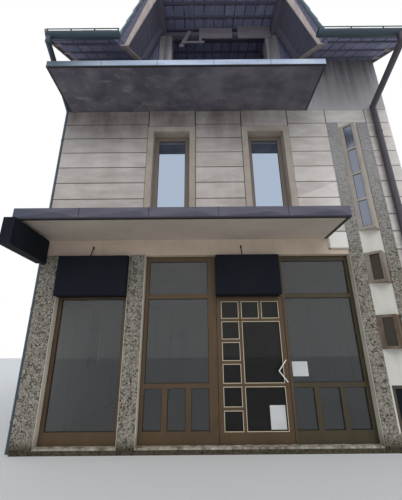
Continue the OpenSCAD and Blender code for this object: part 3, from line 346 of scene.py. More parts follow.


# The undersides of roof tiles between battens: dusty, dim, each tile a little different; the colours given
# carry painted light of the shade they lie in.
def tileUnderside(look):
    material, tree, shader = newFinish("tileUndersides", look["first"], 0.9)
    coords = addNode(tree, "ShaderNodeTexCoord")
    rows = addNode(tree, "ShaderNodeTexBrick", {"offset": 0.0},
                   {"Vector": coords.outputs["Object"], "Color1": linear(look["first"]),
                    "Color2": linear(look["second"]), "Mortar": linear(look["gap"]), "Scale": 1.0,
                    "Mortar Size": look["joint"], "Brick Width": look["width"], "Row Height": look["row"]})
    dustAt = addNode(tree, "ShaderNodeMapping", None,
                     {"Vector": coords.outputs["Object"], "Scale": (14, 3, 3)})
    dust = addNode(tree, "ShaderNodeTexNoise", None,
                   {"Vector": dustAt.outputs[0], "Scale": 1.0, "Detail": 4.0})
    dustStep = addNode(tree, "ShaderNodeMapRange", None,
                       {"Value": dust.outputs[0], "From Min": 0.45, "From Max": 0.7, "To Max": 0.6})
    dusty = addNode(tree, "ShaderNodeMix", {"data_type": "RGBA"},
                    {0: dustStep.outputs[0], 6: rows.outputs["Color"], 7: linear(look["dust"])})
    tree.links.new(dusty.outputs[2], shader.inputs["Base Color"])
    bump = addNode(tree, "ShaderNodeBump", {"invert": True},
                   {"Height": rows.outputs["Fac"], "Strength": 0.6, "Distance": 0.01})
    tree.links.new(bump.outputs[0], shader.inputs["Normal"])
    return material


# Concrete roof tiles, greyed and with lichen: dull, speckled, each a little different.
def roofTile(name, colour, worn, lichen):
    material, tree, shader = newFinish(name, colour, 0.85)
    islands = addNode(tree, "ShaderNodeNewGeometry")
    each = addNode(tree, "ShaderNodeMix", {"data_type": "RGBA"},
                   {0: islands.outputs["Random Per Island"], 6: linear(colour), 7: linear(worn)})
    coords = addNode(tree, "ShaderNodeTexCoord")
    spots = addNode(tree, "ShaderNodeTexNoise", None,
                    {"Vector": coords.outputs["Object"], "Scale": 9.0, "Detail": 6.0, "Roughness": 0.7})
    spotStep = addNode(tree, "ShaderNodeMapRange", None,
                       {"Value": spots.outputs[0], "From Min": 0.52, "From Max": 0.7})
    grown = addNode(tree, "ShaderNodeMix", {"data_type": "RGBA"},
                    {0: spotStep.outputs[0], 6: each.outputs[2], 7: linear(lichen)})
    tree.links.new(grown.outputs[2], shader.inputs["Base Color"])
    bump = addNode(tree, "ShaderNodeBump", None,
                   {"Height": spots.outputs[0], "Strength": 0.3, "Distance": 0.004})
    tree.links.new(bump.outputs[0], shader.inputs["Normal"])
    return material


finishes = {
    # washed aggregate of the piers: broken stones, dull and brownish grey
    "aggregate": washedAggregate({
        "stones": 45.0, "ragged": 0.013, "stone": "#8b8476", "pale": "#a39b8c", "dark": "#3a362f",
        "paste": "#7c7568", "darkShare": 0.54, "paleShare": 0.3,
        "soil": "#867f6b", "soiled": {"axis": "Z", "from": 0.22, "to": 0.08},
        "lime": "#b2b1b3", "limed": {"axis": "Z", "from": 2.8, "to": 5.0, "most": 0.5},
    }),
    # precast panels with a faintly brushed face, darker and browner towards the balcony and towards the
    # left: partly soot, partly painted shade of the balcony and the canopy
    "precast": mineral("precastPanels", "#f2e9e0", "#ded3c8", "#4f4139",
                       {"tone": (2.2, 2.2, 7), "streak": (2.6, 2.6, 0.8), "grain": (18, 18, 110),
                        "bump": 0.3, "stainAndShadeShare": 0.93, "clean": -0.4, "each": 0.17,
                        # painted shade: the brown stain colour grows up towards the balcony and leftwards,
                        # where the balcony and canopy shade the panels
                        "fades": ({"axis": "Z", "from": 5.2, "to": 6.15, "least": 0.42},
                                  {"axis": "X", "from": 2.5, "to": 0.5})}),
    # core of the street wall: dark in the panels' joints, rendered where its two ends show at the sides
    "wallCore": mineral("wallCore", "#cfc9be", "#c4bdb1", "#2c2825",
                        {"tone": (3, 3, 3), "streak": (5, 5, 1), "grain": (90, 90, 90), "stainAndShadeShare": 1.3,
                         "clean": -1.0, "fades": ({"axis": "X", "from": 3.388, "to": 3.37},
                                                  {"axis": "X", "from": -3.388, "to": -3.37})}),
    # cast stone round the windows, darker and browner than the panels
    "surround": mineral("castStone", "#b8ac9e", "#a89b8d", "#877b70",
                        {"tone": (3, 3, 3), "streak": (6, 6, 0.8), "grain": (80, 80, 80), "stainAndShadeShare": 0.4}),
    # painted linings of the shopfronts, worn and dirty at the foot
    "reveal": mineral("paintedLining", "#e0d8c6", "#d4cbb8", "#655e4e",
                      {"tone": (2, 2, 2), "streak": (9, 9, 1.2), "grain": (70, 70, 70), "stainAndShadeShare": 1.3,
                       "clean": 0.2, "fades": ({"axis": "Z", "from": 0.3, "to": 0.09, "least": 0.12},)}),
    # cream render over the shopfronts
    "beam": mineral("creamRender", "#d4c0ac", "#c8b39e", "#a8937e",
                    {"tone": (1.2, 1.2, 3), "streak": (4, 4, 1), "grain": (60, 60, 60), "stainAndShadeShare": 0.35}),
    # the same render under the canopy, made greyer and a little darker: painted shade of the underside
    "canopy": mineral("canopyRender", "#c6b9aa", "#b9ac9e", "#9a8d80",
                      {"tone": (0.8, 1.4, 1), "streak": (2, 2, 1), "grain": (60, 60, 60), "stainAndShadeShare": 0.3}),
    # coated concrete, cloudy, with faint lime blooms towards its left end
    "balcony": mineral("coatedConcrete", "#706d75", "#524f5a", "#a5a29f",
                       {"tone": (2.2, 2.6, 1.5), "streak": (3.2, 6.5, 3.2), "grain": (50, 50, 50),
                        "clean": 0.54, "stainAndShadeShare": 0.6, "bump": 0.4,
                        "fades": ({"axis": "X", "from": 0.8, "to": -2.4, "least": 0.12},)}),
    # smooth off-white plaster of the stair strip, with faint runs
    "plaster": mineral("whitePlaster", "#dcd7cb", "#d2cdc0", "#a8a397",
                       {"tone": (2, 2, 1), "streak": (7, 7, 0.8), "grain": (60, 60, 60), "stainAndShadeShare": 0.25}),
    # fresh white paint on the block beside the canopy
    "whitePaint": mineral("whitePaint", "#f2ede3", "#eae5da", "#cfcbc1",
                          {"tone": (3, 3, 2), "streak": (6, 6, 1), "grain": (60, 60, 60), "stainAndShadeShare": 0.2}),
    # plain render of the sides and the rear, in large soft clouds
    "sideWall": mineral("sideRender", "#cfc9be", "#c4bdb1", "#9b948a",
                        {"tone": (0.6, 0.6, 0.6), "streak": (3, 3, 0.35), "grain": (55, 55, 55),
                         "stainAndShadeShare": 0.4}),
    # render under the eaves, with dark runs from the top
    "attic": mineral("atticRender", "#cfc9c5", "#c0bab7", "#56545c",
                     {"tone": (1.5, 1.5, 1.5), "streak": (9, 9, 0.4), "grain": (60, 60, 60), "stainAndShadeShare": 1.0,
                      "clean": 0.2, "fades": ({"axis": "Z", "from": 6.3, "to": 7.4, "least": 0.1},)}),
    # box windows: pale concrete on the tall one, brown paint on the ones below it
    "box": mineral("boxConcrete", "#b9afa2", "#aba194", "#5c4934",
                   {"tone": (4, 4, 4), "streak": (3, 3, 0.6), "grain": (70, 70, 70), "stainAndShadeShare": 1.4,
                    "clean": 0.0, "fades": ({"axis": "Z", "from": 3.6, "to": 2.2},)}),
    # bare screed of the floors, mid grey
    "slab": mineral("screed", "#9a958b", "#8f8a80", "#7b766d",
                    {"tone": (1, 1, 1), "streak": (2, 2, 2), "grain": (50, 50, 50)}),
    # brown anodised aluminium: satin, a little coppery where it is rubbed
    "brownMetal": sheetMetal("anodisedBrown", "#54432f", "#6f573c",
                             {"roughness": 0.4, "metallic": 0.35, "tone": (5, 5, 2), "bump": 0.05}),
    # the same aluminium, more olive, round the right display window
    "oliveMetal": sheetMetal("anodisedOlive", "#453c2b", "#574b37",
                             {"roughness": 0.4, "metallic": 0.35, "tone": (5, 5, 2), "bump": 0.05}),
    # painted frames of the upper windows, and the dark ones near the ground
    "sash": sheetMetal("paintedSash", "#7c7066", "#8d8073",
                       {"roughness": 0.45, "tone": (5, 5, 2), "bump": 0.05, "lowPaint": "#483c2e",
                        "low": {"axis": "Z", "from": 3.3, "to": 3.2}}),
    # pale lacquered beads of the door, with a soft shine
    "bead": sheetMetal("paleBead", "#d0c3a8", "#b6a98e",
                       {"roughness": 0.35, "metallic": 0.2, "tone": (5, 5, 5), "bump": 0.03}),
    # white enamel of the pull handle, smooth and bright
    "enamel": sheetMetal("whiteEnamel", "#e6e3da", "#c9c5b9",
                         {"roughness": 0.25, "tone": (6, 6, 6), "bump": 0.02}),
    # matt navy panel: hardly a reflection
    "sign": sheetMetal("navyPanel", "#11151e", "#1a2029",
                       {"roughness": 0.75, "sheen": 1.3, "tone": (2, 2, 2), "bump": 0.04, "dusty": 0.25}),
    # folded steel sheet that has buckled between its seams, bluer at its left end
    "fascia": sheetMetal("foldedFascia", "#55535f", "#6e6c78",
                         {"roughness": 0.36, "metallic": 0.35, "tone": (2.5, 2.5, 6), "dusty": 0.5,
                          "dents": (2.4, 2.4, 7), "bump": 0.4, "lowPaint": "#3a4655",
                          "low": {"axis": "X", "from": -2.6, "to": -3.4, "most": 0.7}}),
    # zinc along the balcony: pale and bluish, darker towards its left end
    "edge": sheetMetal("zincEdge", "#bfcbde", "#90a0b8",
                       {"roughness": 0.4, "metallic": 0.3, "tone": (1.2, 1.2, 5), "dusty": 0.8, "bump": 0.35,
                        "lowPaint": "#52616e", "low": {"axis": "X", "from": -2.0, "to": -3.2}}),
    # dark paint of the strips under the sheets and of the signs' stays, nearly black and dull; on the strips
    # along the sheets' foot and their returns the black is partly painted shade
    "drip": sheetMetal("dripStripAndShade", "#26262a", "#35343a",
                       {"roughness": 0.6, "tone": (3, 3, 3), "bump": 0.1}),
    # dark blue-grey paint, half matt; the outer bead gets a lighter, greener copy of it, a painted highlight
    # where it catches the sky
    "gutter": sheetMetal("gutterPaint", "#37454f", "#465863",
                         {"roughness": 0.5, "tone": (2, 2, 4), "bump": 0.1}),
    # painted highlight: the gutter paint made lighter and greener for the outer bead
    "rim": sheetMetal("gutterRimSkyHighlight", "#4f6f70", "#5c7c7c",
                      {"roughness": 0.45, "tone": (2, 2, 2), "bump": 0.05}),
    # plum-grey paint of the right downpipe
    "pipe": sheetMetal("pipePaint", "#4b434c", "#5d555e",
                       {"roughness": 0.4, "tone": (3, 3, 3), "bump": 0.05}),
    # sheet lead over the tiles and on the sills: grey, with soft dents
    "flashing": sheetMetal("leadFlashing", "#6b7076", "#858b90",
                           {"roughness": 0.55, "metallic": 0.3, "tone": (4, 4, 4), "bump": 0.5}),
    # rubber gaskets, black and dull
    "rubber": sheetMetal("blackGasket", "#1c1a19", "#2b2826",
                         {"roughness": 0.65, "tone": (6, 6, 6), "bump": 0.03}),
    # coated cassettes of the blinds, dark blue-grey
    "cassette": sheetMetal("blindCassette", "#1c202b", "#282c38",
                           {"roughness": 0.6, "tone": (3, 3, 3), "bump": 0.05}),
    # bare paper, a shade off white
    "paper": mineral("barePaper", "#d6d5d2", "#cccbc7", "#b3b1ab",
                     {"tone": (6, 6, 6), "streak": (4, 4, 4), "grain": (90, 90, 90), "bump": 0.1,
                      "stainAndShadeShare": 0.2}),
    # shop panes, which mirror some of the sky, and the darker ones of the door
    "glass": floatGlass("shopPane", "#3a3e3f", {"roughness": 0.025, "sheen": 2.05, "alpha": 0.35}),
    "doorGlass": floatGlass("doorPane", "#12110f", {"roughness": 0.03, "sheen": 1.45, "alpha": 0.6}),
    # sharp and bright with sky upstairs, their bluish tint partly the coating's and partly a painted
    # reflection of a blue sky, since the sky they mirror is white; the box windows' panes are greyer and
    # blurred
    "skyGlass": coatedGlass("insulatingGlass", "#abb9cc",
                            {"roughness": 0.04, "metallic": 0.95, "lowTone": "#22272b",
                             "low": {"axis": "Z", "from": 3.3, "to": 3.2}}),
    "boxGlass": coatedGlass("boxPane", "#848a97",
                            {"roughness": 0.15, "metallic": 0.6, "lowTone": "#38332c",
                             "low": {"axis": "Z", "from": 3.6, "to": 3.2}}),
    # warm grey concrete tiles; those of the dormer are bluer and paler
    "tile": roofTile("roofTile", "#75706b", "#8a7e74", "#8f9a98"),
    "greyTile": roofTile("dormerTile", "#76868d", "#8b9ca2", "#9fb0b0"),
    # undersides of the roof tiles, painted bluish and lighter to stand for the sky light in their shade
    "underTile": tileUnderside({"first": "#8f94b0", "second": "#7a7f9c", "gap": "#3e4160", "dust": "#a8a4b8",
                                "width": 0.232, "row": 0.33, "joint": 0.012}),
    # boards inside the dormer's cheeks, greyed, and painted bluish for the sky light in their shade
    "cheek": oldWood("cheekBoards", "#5c5d6e", "#6c6a76",
                     {"along": "Y", "across": "Z", "board": 0.16, "joint": 0.008, "gap": "#33343d"}),
    # the palest wood, dry and a little pink
    "barge": oldWood("bargeBoard", "#c2b2ab", "#988c86", {"along": "Z"}),
    # tan boards, painted grey-violet to stand for the hazy bluish light in their shade
    "tan": oldWood("tanBoard", "#958b90", "#7b747b", {"along": "X"}),
    # timbers and battens, dark, painted violet-grey and lighter for the bluish light in their shade
    "darkTimber": oldWood("darkTimber", "#62606f", "#78737d", {"along": "Y"}),
    "batten": oldWood("roofBatten", "#605f74", "#72707f", {"along": "X"}),
    # upright boards inside the loggia, painted bluish and lighter for the sky light in their shade
    "backBoard": oldWood("loggiaBoards", "#686a82", "#77788c",
                         {"along": "Z", "across": "X", "board": 0.14, "joint": 0.01, "gap": "#34364a"}),
}

finishNodes = {
    "aggregate": ("plinth", "piers", "pilasters"),
    "slab": ("ground_slab", "first_floor_slab", "attic_floor"),
    "wallCore": ("upper_front_wall", "corner_wall"),
    "precast": ("wall_panels",),
    "surround": ("window_surrounds",),
    "reveal": ("shop_reveals",),
    "beam": ("lintel_beam",),
    "canopy": ("canopy_slab",),
    "balcony": ("balcony_slab",),
    "plaster": ("stair_wall",),
    "box": ("stair_boxes",),
    "sideWall": ("left_side_wall", "right_side_wall", "rear_wall"),
    "attic": ("attic_front_walls", "loggia_posts"),
    "brownMetal": ("left_window_frame", "left_display_frame", "door_frame", "door_hinges", "shop_door"),
    "oliveMetal": ("right_display_frame",),
    "sash": ("window_frames",),
    "bead": ("door_beads",),
    "enamel": ("door_handle",),
    "sign": ("sign_boards", "projecting_sign"),
    "fascia": ("canopy_fascia",),
    "edge": ("balcony_edge",),
    "gutter": ("gutters", "left_downpipe"),
    "pipe": ("right_downpipe",),
    "glass": ("shop_glass",),
    "doorGlass": ("door_glass",),
    "skyGlass": ("window_glass",),
    "boxGlass": ("stair_glass",),
    "underTile": ("roof_front_left", "roof_front_right", "roof_front_top", "roof_rear", "dormer_roof"),
    "tile": ("ridge_tiles",),
    "cheek": ("dormer_left_cheek", "dormer_right_cheek"),
    "barge": ("bargeboards",),
    "tan": ("loggia_boards",),
    "backBoard": ("loggia_side_walls", "loggia_back_wall"),
    "darkTimber": ("loggia_lintel", "dormer_timbers"),
}
nodeFinish = {name: finish for finish, names in finishNodes.items() for name in names}

for name, node in cadNodes.items():
    finish = finishes[nodeFinish[name]]
    for slot in node.material_slots:
        slot.material = finish
    if not node.material_slots:
        node.data.materials.append(finish)
print("stage: finishes assigned")

# Pieces that are added to the solids


def addPiece(name, shape, finish, body="building"):
    bmesh.ops.recalc_face_normals(shape, faces=shape.faces)
    data = bpy.data.meshes.new(name)
    shape.to_mesh(data)
    shape.free()
    data.materials.append(finishes[finish])
    piece = bpy.data.objects.new(name, data)
    scene.collection.objects.link(piece)
    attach(piece, body)


# A box between two corners, in an open bmesh.
def addBlock(shape, low, high):
    made = bmesh.ops.create_cube(shape, size=1.0)["verts"]
    bmesh.ops.scale(shape, vec=[b - a for a, b in zip(low, high)], verts=made)
    bmesh.ops.translate(shape, vec=[(a + b) / 2 for a, b in zip(low, high)], verts=made)
    return made


# A bar from start to end; its height stands along "up" and its width across.
def addBar(shape, start, end, width, height, up=(0, 0, 1)):
    start, end = Vector(start), Vector(end)
    along = (end - start).normalized()
    side = Vector(up).cross(along).normalized()
    turn = Matrix((along, side, along.cross(side))).transposed().to_4x4()
    made = bmesh.ops.create_cube(shape, size=1.0)["verts"]
    bmesh.ops.scale(shape, vec=((end - start).length, width, height), verts=made)
    bmesh.ops.transform(shape, matrix=Matrix.Translation((start + end) / 2) @ turn, verts=made)


def softenEdges(shape, width):
    bmesh.ops.bevel(shape, geom=shape.edges[:], offset=width, segments=2, profile=0.5, affect="EDGES",
                    material=-1)


# Extruding and thickening leave new faces in an order that changes from run to run; this makes it the same.
def orderFaces(shape):
    slant = Vector((1.0, 7.3, 53.7))  # not in line with any side of the building
    shape.faces.sort(key=lambda face: face.calc_center_median().dot(slant))


# The faces of some solids in a bmesh, each flat face in one piece.
def wholeFaces(names):
    shape = bmesh.new()
    for name in names:
        shape.from_mesh(cadNodes[name].data)
    bmesh.ops.remove_doubles(shape, verts=shape.verts, dist=0.0002)
    bmesh.ops.dissolve_limit(shape, angle_limit=0.02, verts=shape.verts, edges=shape.edges)
    return shape


# The main roof and the dormer, as they are in the solids
rearLow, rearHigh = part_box("roof_rear")
shedLow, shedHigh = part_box("dormer_roof")
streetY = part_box("plinth")[0][1]

roof = {
    "rise": 0.68,
    "overhang": 0.01,  # how far the lowest tiles pass the eave
    "verge": 0.03,
}
dormer = {
    "lean": 0.364,
    "rise": 0.2126,
    "thickness": 0.12,
    "cheek": 0.118,
    "purlin": 0.11,
    "tilesOut": 0.10,  # from the cheek to the tiles on it
}
tile = {
    "width": 0.232,
    "step": 0.33,
    "length": 0.41,
    "thickness": 0.02,
    "rib": 0.028,
    "ribStart": 0.02,
    "joint": 0.004,
    "wobble": 0.003,
    # in thicknesses: rounding of the nose, foot and height of the rib, climb from row to row, and lift above
    # the slope
    "nose": 0.6,
    "ribFoot": 0.8,
    "ribHigh": 1.3,
    "climb": 1.05,
    "lift": 1.1,
}

eaveY = -rearHigh[1]
ridgeTop = rearHigh[2]
roofThick = rearHigh[2] - rearLow[2] + eaveY * roof["rise"]
leftX, rightX = rearLow[0], rearHigh[0]
dormerX = (shedLow[0] + shedHigh[0]) / 2
dormerY = shedLow[1]


def roofTop(y):
    return ridgeTop + roof["rise"] * y


def roofSoffit(y):
    return roofTop(y) - roofThick


def shedTop(y):
    return shedLow[2] + dormer["thickness"] + dormer["rise"] * (y - dormerY)


def cheekHalf(z):
    return shedHigh[0] - dormerX - dormer["lean"] * (z - shedLow[2])


def cheekPoint(side, z, out=0.0):
    return Vector((dormerX + side * (cheekHalf(z) + out), dormerY, z))


# A flat interlocking tile: its nose is rounded, and a low rib runs up its left edge.
def oneTile():
    shape = bmesh.new()
    thick = tile["thickness"]
    addBlock(shape, (0, 0, 0), (tile["width"] - tile["joint"], tile["length"], thick))
    nose = [e for e in shape.edges if all(v.co.y < 0.001 and v.co.z > thick / 2 for v in e.verts)]
    bmesh.ops.bevel(shape, geom=nose, offset=thick * tile["nose"], segments=2, profile=0.5,
                    affect="EDGES", material=-1)
    addBlock(shape, (0, tile["ribStart"], thick * tile["ribFoot"]),
             (tile["rib"], tile["length"], thick * tile["ribHigh"]))
    data = bpy.data.meshes.new("oneTile")
    shape.to_mesh(data)
    shape.free()
    return data


# Rows of tiles from a start point; what lies beyond each cut plane is taken off.
def tileField(name, start, across, rise, columns, rows, cuts, finish):
    across, rise = Vector(across).normalized(), Vector(rise).normalized()
    turn = Matrix((across, rise, across.cross(rise))).transposed().to_4x4()
    tilt = Matrix.Rotation(-math.atan2(tile["thickness"] * tile["climb"], tile["step"]), 4, "X")
    lift = Matrix.Translation((0, 0, tile["thickness"] * tile["lift"]))
    shape = bmesh.new()
    for row in range(rows):
        for column in range(columns):
            nudge = Vector((0, random.uniform(-1, 1), random.uniform(0, 0.6))) * tile["wobble"]
            at = Vector(start) + across * column * tile["width"] + rise * row * tile["step"]
            data = plainTile.copy()
            data.transform(Matrix.Translation(at) @ turn @ Matrix.Translation(nudge) @ lift @ tilt)
            beyond = [[(v.co - Vector(point)).dot(Vector(normal)) > 0 for v in data.vertices]
                      for point, normal in cuts]
            if not any(all(side) for side in beyond):
                if any(any(side) for side in beyond):
                    trimTile(data, cuts)
                shape.from_mesh(data)
            bpy.data.meshes.remove(data)
    addPiece(name, shape, finish)


def trimTile(data, cuts):
    trimmed = bmesh.new()
    trimmed.from_mesh(data)
    for point, normal in cuts:
        geometry = trimmed.verts[:] + trimmed.edges[:] + trimmed.faces[:]
        made = bmesh.ops.bisect_plane(trimmed, geom=geometry, dist=0.0001, plane_co=point, plane_no=normal,
                                      clear_outer=True)
        rim = [e for e in made["geom_cut"] if isinstance(e, bmesh.types.BMEdge)]
        if rim:
            bmesh.ops.edgenet_fill(trimmed, edges=rim)
    trimmed.to_mesh(data)
    trimmed.free()


plainTile = oneTile()
backY = (shedTop(0) - roofTop(0)) / (roof["rise"] - dormer["rise"])
backZ = roofTop(backY)
slopeLength = math.hypot(eaveY, roof["rise"] * eaveY)
slopeRows = math.ceil(slopeLength / tile["step"])
slopeColumns = math.ceil((rightX - leftX + 2 * roof["verge"]) / tile["width"])
slopeX = (leftX - roof["verge"], rightX + roof["verge"])
slopeY = eaveY - roof["overhang"]
leftCheek = (cheekPoint(-1, backZ), Vector((-1, 0, dormer["lean"])).normalized())
rightCheek = (cheekPoint(1, backZ), Vector((1, 0, dormer["lean"])).normalized())
ridgeCut = ((0, 0, 0), (0, 1, 0))
slope = {"start": (slopeX[0], slopeY, roofTop(slopeY)), "across": (1, 0, 0), "rise": (0, 1, roof["rise"]),
         "columns": slopeColumns, "rows": slopeRows}

tileField("roofTilesLeft", cuts=[(leftCheek[0], -leftCheek[1]), ridgeCut, ((dormerX, 0, 0), (1, 0, 0))],
          finish="tile", **slope)
tileField("roofTilesRight", finish="tile",
          cuts=[(rightCheek[0], -rightCheek[1]), ridgeCut, ((dormerX, 0, 0), (-1, 0, 0)),
                ((slopeX[1], 0, 0), (1, 0, 0))], **slope)
tileField("roofTilesTop", cuts=[leftCheek, rightCheek, ((0, backY, 0), (0, -1, 0)), ridgeCut],
          finish="tile", **slope)
tileField("roofTilesRear", (slopeX[1], -slopeY, roofTop(slopeY)), (-1, 0, 0), (0, -1, roof["rise"]),
          slopeColumns, slopeRows, [((0, 0, 0), (0, -1, 0)), ((slopeX[0], 0, 0), (-1, 0, 0))], "tile")
print("stage: main roof tiled")

shed = {
    "cheekRows": 9,
    "cheekColumns": 15,
    "rows": 11,
    "start": 0.1,  # how far below the main roof's face the cheeks' first row begins
    "front": 0.05,  # how far the tiles pass the dormer's front
    "clear": 0.02,
    "side": 0.03,
    "edge": 0.04,
}
cheekFoot = roofTop(dormerY) - shed["start"]
frontY = dormerY - shed["front"]
aboveShed = ((0, dormerY, shedTop(dormerY) + shed["clear"]), Vector((0, -dormer["rise"], 1)).normalized())
belowRoof = ((0, 0, ridgeTop), Vector((0, roof["rise"], -1)).normalized())
tileField("dormerTilesLeft",
          cheekPoint(-1, cheekFoot, dormer["tilesOut"])
          + Vector((0, frontY - dormerY + shed["cheekColumns"] * tile["width"], 0)),
          (0, -1, 0), (dormer["lean"], 0, 1), shed["cheekColumns"], shed["cheekRows"],
          [belowRoof, aboveShed], "greyTile")
tileField("dormerTilesRight",
          cheekPoint(1, cheekFoot, dormer["tilesOut"]) + Vector((0, frontY - dormerY, 0)),
          (0, 1, 0), (-dormer["lean"], 0, 1), shed["cheekColumns"], shed["cheekRows"],
          [belowRoof, aboveShed], "greyTile")
shedHalf = cheekHalf(shedTop(dormerY)) + dormer["tilesOut"] + shed["side"]
tileField("dormerTilesTop", (dormerX - shedHalf, frontY, shedTop(frontY)), (1, 0, 0), (0, 1, dormer["rise"]),
          math.ceil(2 * shedHalf / tile["width"]), shed["rows"],
          [belowRoof, (cheekPoint(-1, backZ, dormer["tilesOut"] + shed["edge"]), leftCheek[1]),
           (cheekPoint(1, backZ, dormer["tilesOut"] + shed["edge"]), rightCheek[1])], "greyTile")
print("stage: dormer tiled")

# Half-round collars where one ridge tile laps the next

ridge = {"radius": 0.137, "taper": 0.004, "lap": 0.42, "first": 0.06, "width": 0.06, "sink": 0.06}
shape = bmesh.new()
for k in range(int((rightX - leftX) / ridge["lap"]) + 1):
    made = bmesh.ops.create_cone(shape, cap_ends=True, segments=28, radius1=ridge["radius"],
                                 radius2=ridge["radius"] - ridge["taper"], depth=ridge["width"])["verts"]
    bmesh.ops.rotate(shape, matrix=Matrix.Rotation(math.radians(90), 3, "Y"), verts=made)
    x = leftX + ridge["first"] + k * ridge["lap"]
    bmesh.ops.translate(shape, vec=(x, 0, ridgeTop - ridge["sink"]), verts=made)
addPiece("ridgeCollars", shape, "tile")

# Sheet metal where the dormer meets the main roof, and boards that close the tiles' edges

flashing = {
    "width": 0.2,
    "thickness": 0.006,
    "out": 0.05,
    "lift": 0.06,
    "backWidth": 0.26,
    "backThickness": 0.008,
    "backEnd": 0.1,
    "backLift": 0.07,
    "backUp": (0, -0.45, 1),
    "soft": 0.002,
}
roofUp = Vector((0, -roof["rise"], 1)).normalized()
lift = Vector((0, 0, flashing["lift"]))
out = dormer["tilesOut"] + flashing["out"]
shape = bmesh.new()
for side in (-1, 1):
    foot = cheekPoint(side, roofTop(dormerY), out)
    head = cheekPoint(side, backZ, out)
    head.y = backY
    addBar(shape, foot + lift, head + lift, flashing["width"], flashing["thickness"], roofUp)
addBar(shape, (dormerX - cheekHalf(backZ) - flashing["backEnd"], backY, backZ + flashing["backLift"]),
       (dormerX + cheekHalf(backZ) + flashing["backEnd"], backY, backZ + flashing["backLift"]),
       flashing["backWidth"], flashing["backThickness"], flashing["backUp"])
softenEdges(shape, flashing["soft"])
addPiece("roofFlashings", shape, "flashing")

verge = {"height": 0.17, "thickness": 0.02, "lift": 0.045, "soft": 0.003}
shape = bmesh.new()
for x in slopeX:
    for turn in (-1, 1):
        addBar(shape, (x, turn * -eaveY, roofSoffit(eaveY) + verge["lift"]),
               (x, 0, roofSoffit(0) + verge["lift"]), verge["thickness"], verge["height"],
               (0, turn * roof["rise"], 1))
softenEdges(shape, verge["soft"])
addPiece("vergeBoards", shape, "barge")

sideBoard = {"thickness": 0.025, "back": 0.02}
behind = Vector((0, sideBoard["back"], 0))
shape = bmesh.new()
for side in (-1, 1):
    foot = cheekPoint(side, roofTop(dormerY), dormer["tilesOut"] / 2)
    head = cheekPoint(side, shedTop(dormerY), dormer["tilesOut"] / 2)
    addBar(shape, foot + behind, head + behind, dormer["tilesOut"], sideBoard["thickness"], (0, -1, 0))
addPiece("dormerSideBoards", shape, "batten")

# Battens and boards under the roofs

under = {
    "width": 0.045,
    "height": 0.03,
    "eaveRows": (-4.6, -4.27, -3.94),
    "shedRows": (-4.35, -4.02, -3.69, -3.36, -3.03, -2.7),
    "boardHeight": 0.08,
    "boardThick": 0.022,
    "boardIn": 0.167,  # from the gutter's outer rim
    "paleEnd": 0.12,
    "endOut": 0.02,
    "endSkin": 0.004,
    "soft": 0.003,
}
shape = bmesh.new()
for y in under["eaveRows"]:
    z = roofSoffit(y) - under["height"] / 2
    for start, end in ((leftX, dormerX - cheekHalf(z)), (dormerX + cheekHalf(z), rightX)):
        addBar(shape, (start, y, z), (end, y, z), under["width"], under["height"], roofUp)
    addBar(shape, (leftX, -y, z), (rightX, -y, z), under["width"], under["height"], (0, roof["rise"], 1))
for y in under["shedRows"]:
    z = shedTop(y) - dormer["thickness"] - under["height"] / 2
    half = cheekHalf(z) - dormer["cheek"] - dormer["purlin"]
    addBar(shape, (dormerX - half, y, z), (dormerX + half, y, z), under["width"], under["height"],
           (0, -dormer["rise"], 1))
softenEdges(shape, under["soft"])
addPiece("roofBattens", shape, "batten")

shape = bmesh.new()
for y in under["eaveRows"]:
    z = roofSoffit(y) - under["height"] / 2
    for start, end in ((leftX - under["endOut"], leftX + under["paleEnd"]),
                       (rightX - under["paleEnd"], rightX + under["endOut"])):
        for side in (-1, 1):
            addBar(shape, (start, -side * y, z), (end, -side * y, z), under["width"] + under["endSkin"],
                   under["height"] + under["endSkin"], (0, side * roof["rise"], 1))
softenEdges(shape, under["soft"])
addPiece("battenEnds", shape, "barge")

gutterLow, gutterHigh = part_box("gutters")
boardY = gutterLow[1] + under["boardIn"]
shape = bmesh.new()
boardZ = roofSoffit(boardY) - under["boardHeight"] / 2
footHalf = cheekHalf(boardZ)
for start, end in ((leftX, dormerX - footHalf), (dormerX + footHalf, rightX)):
    addBar(shape, (start, boardY, boardZ), (end, boardY, boardZ), under["boardThick"], under["boardHeight"])
addBar(shape, (leftX, -boardY, boardZ), (rightX, -boardY, boardZ), under["boardThick"], under["boardHeight"])
softenEdges(shape, under["soft"])
addPiece("eaveBoards", shape, "batten")

# Straps over the gutters, and the bead along their outer rims

strap = {
    "width": 0.025,
    "thickness": 0.003,
    "spacing": 0.62,
    "hook": 0.02,
    "bead": 0.016,
    "gutter": 0.15,  # across
    "leftIn": 0.2,  # how far the gutters run in front of the dormer's cheeks
    "rightIn": 0.42,
}
rimZ = gutterHigh[2]
leftEnd = dormerX - cheekHalf(rimZ) + strap["leftIn"]
rightEnd = dormerX + cheekHalf(rimZ) - strap["rightIn"]
gutterRuns = ((-1, gutterLow[0], leftEnd), (-1, rightEnd, gutterHigh[0]), (1, gutterLow[0], gutterHigh[0]))
straps = bmesh.new()
rims = bmesh.new()
for side, x0, x1 in gutterRuns:
    outerY = side * gutterHigh[1]
    innerY = side * (gutterHigh[1] - strap["gutter"])
    count = math.ceil((x1 - x0) / strap["spacing"])
    for k in range(count + 1):
        x = x0 + strap["width"] + (x1 - x0 - 2 * strap["width"]) * k / count
        addBar(straps, (x, innerY, rimZ), (x, outerY, rimZ), strap["width"], strap["thickness"])
        addBar(straps, (x, outerY, rimZ - strap["hook"]), (x, outerY, rimZ), strap["width"],
               strap["thickness"], (0, side, 0))
    rimY = outerY - side * strap["bead"] / 2
    addBar(rims, (x0, rimY, rimZ), (x1, rimY, rimZ), strap["bead"], strap["bead"])
softenEdges(rims, strap["bead"] * 0.3)
addPiece("gutterStraps", straps, "gutter")
# the beads take the lighter, greener paint: a painted highlight of the sky
addPiece("gutterBeads", rims, "rim")
print("stage: roof trim ready")

# Thin sheets on the street face of the canopy and the balcony, buckled between their seams

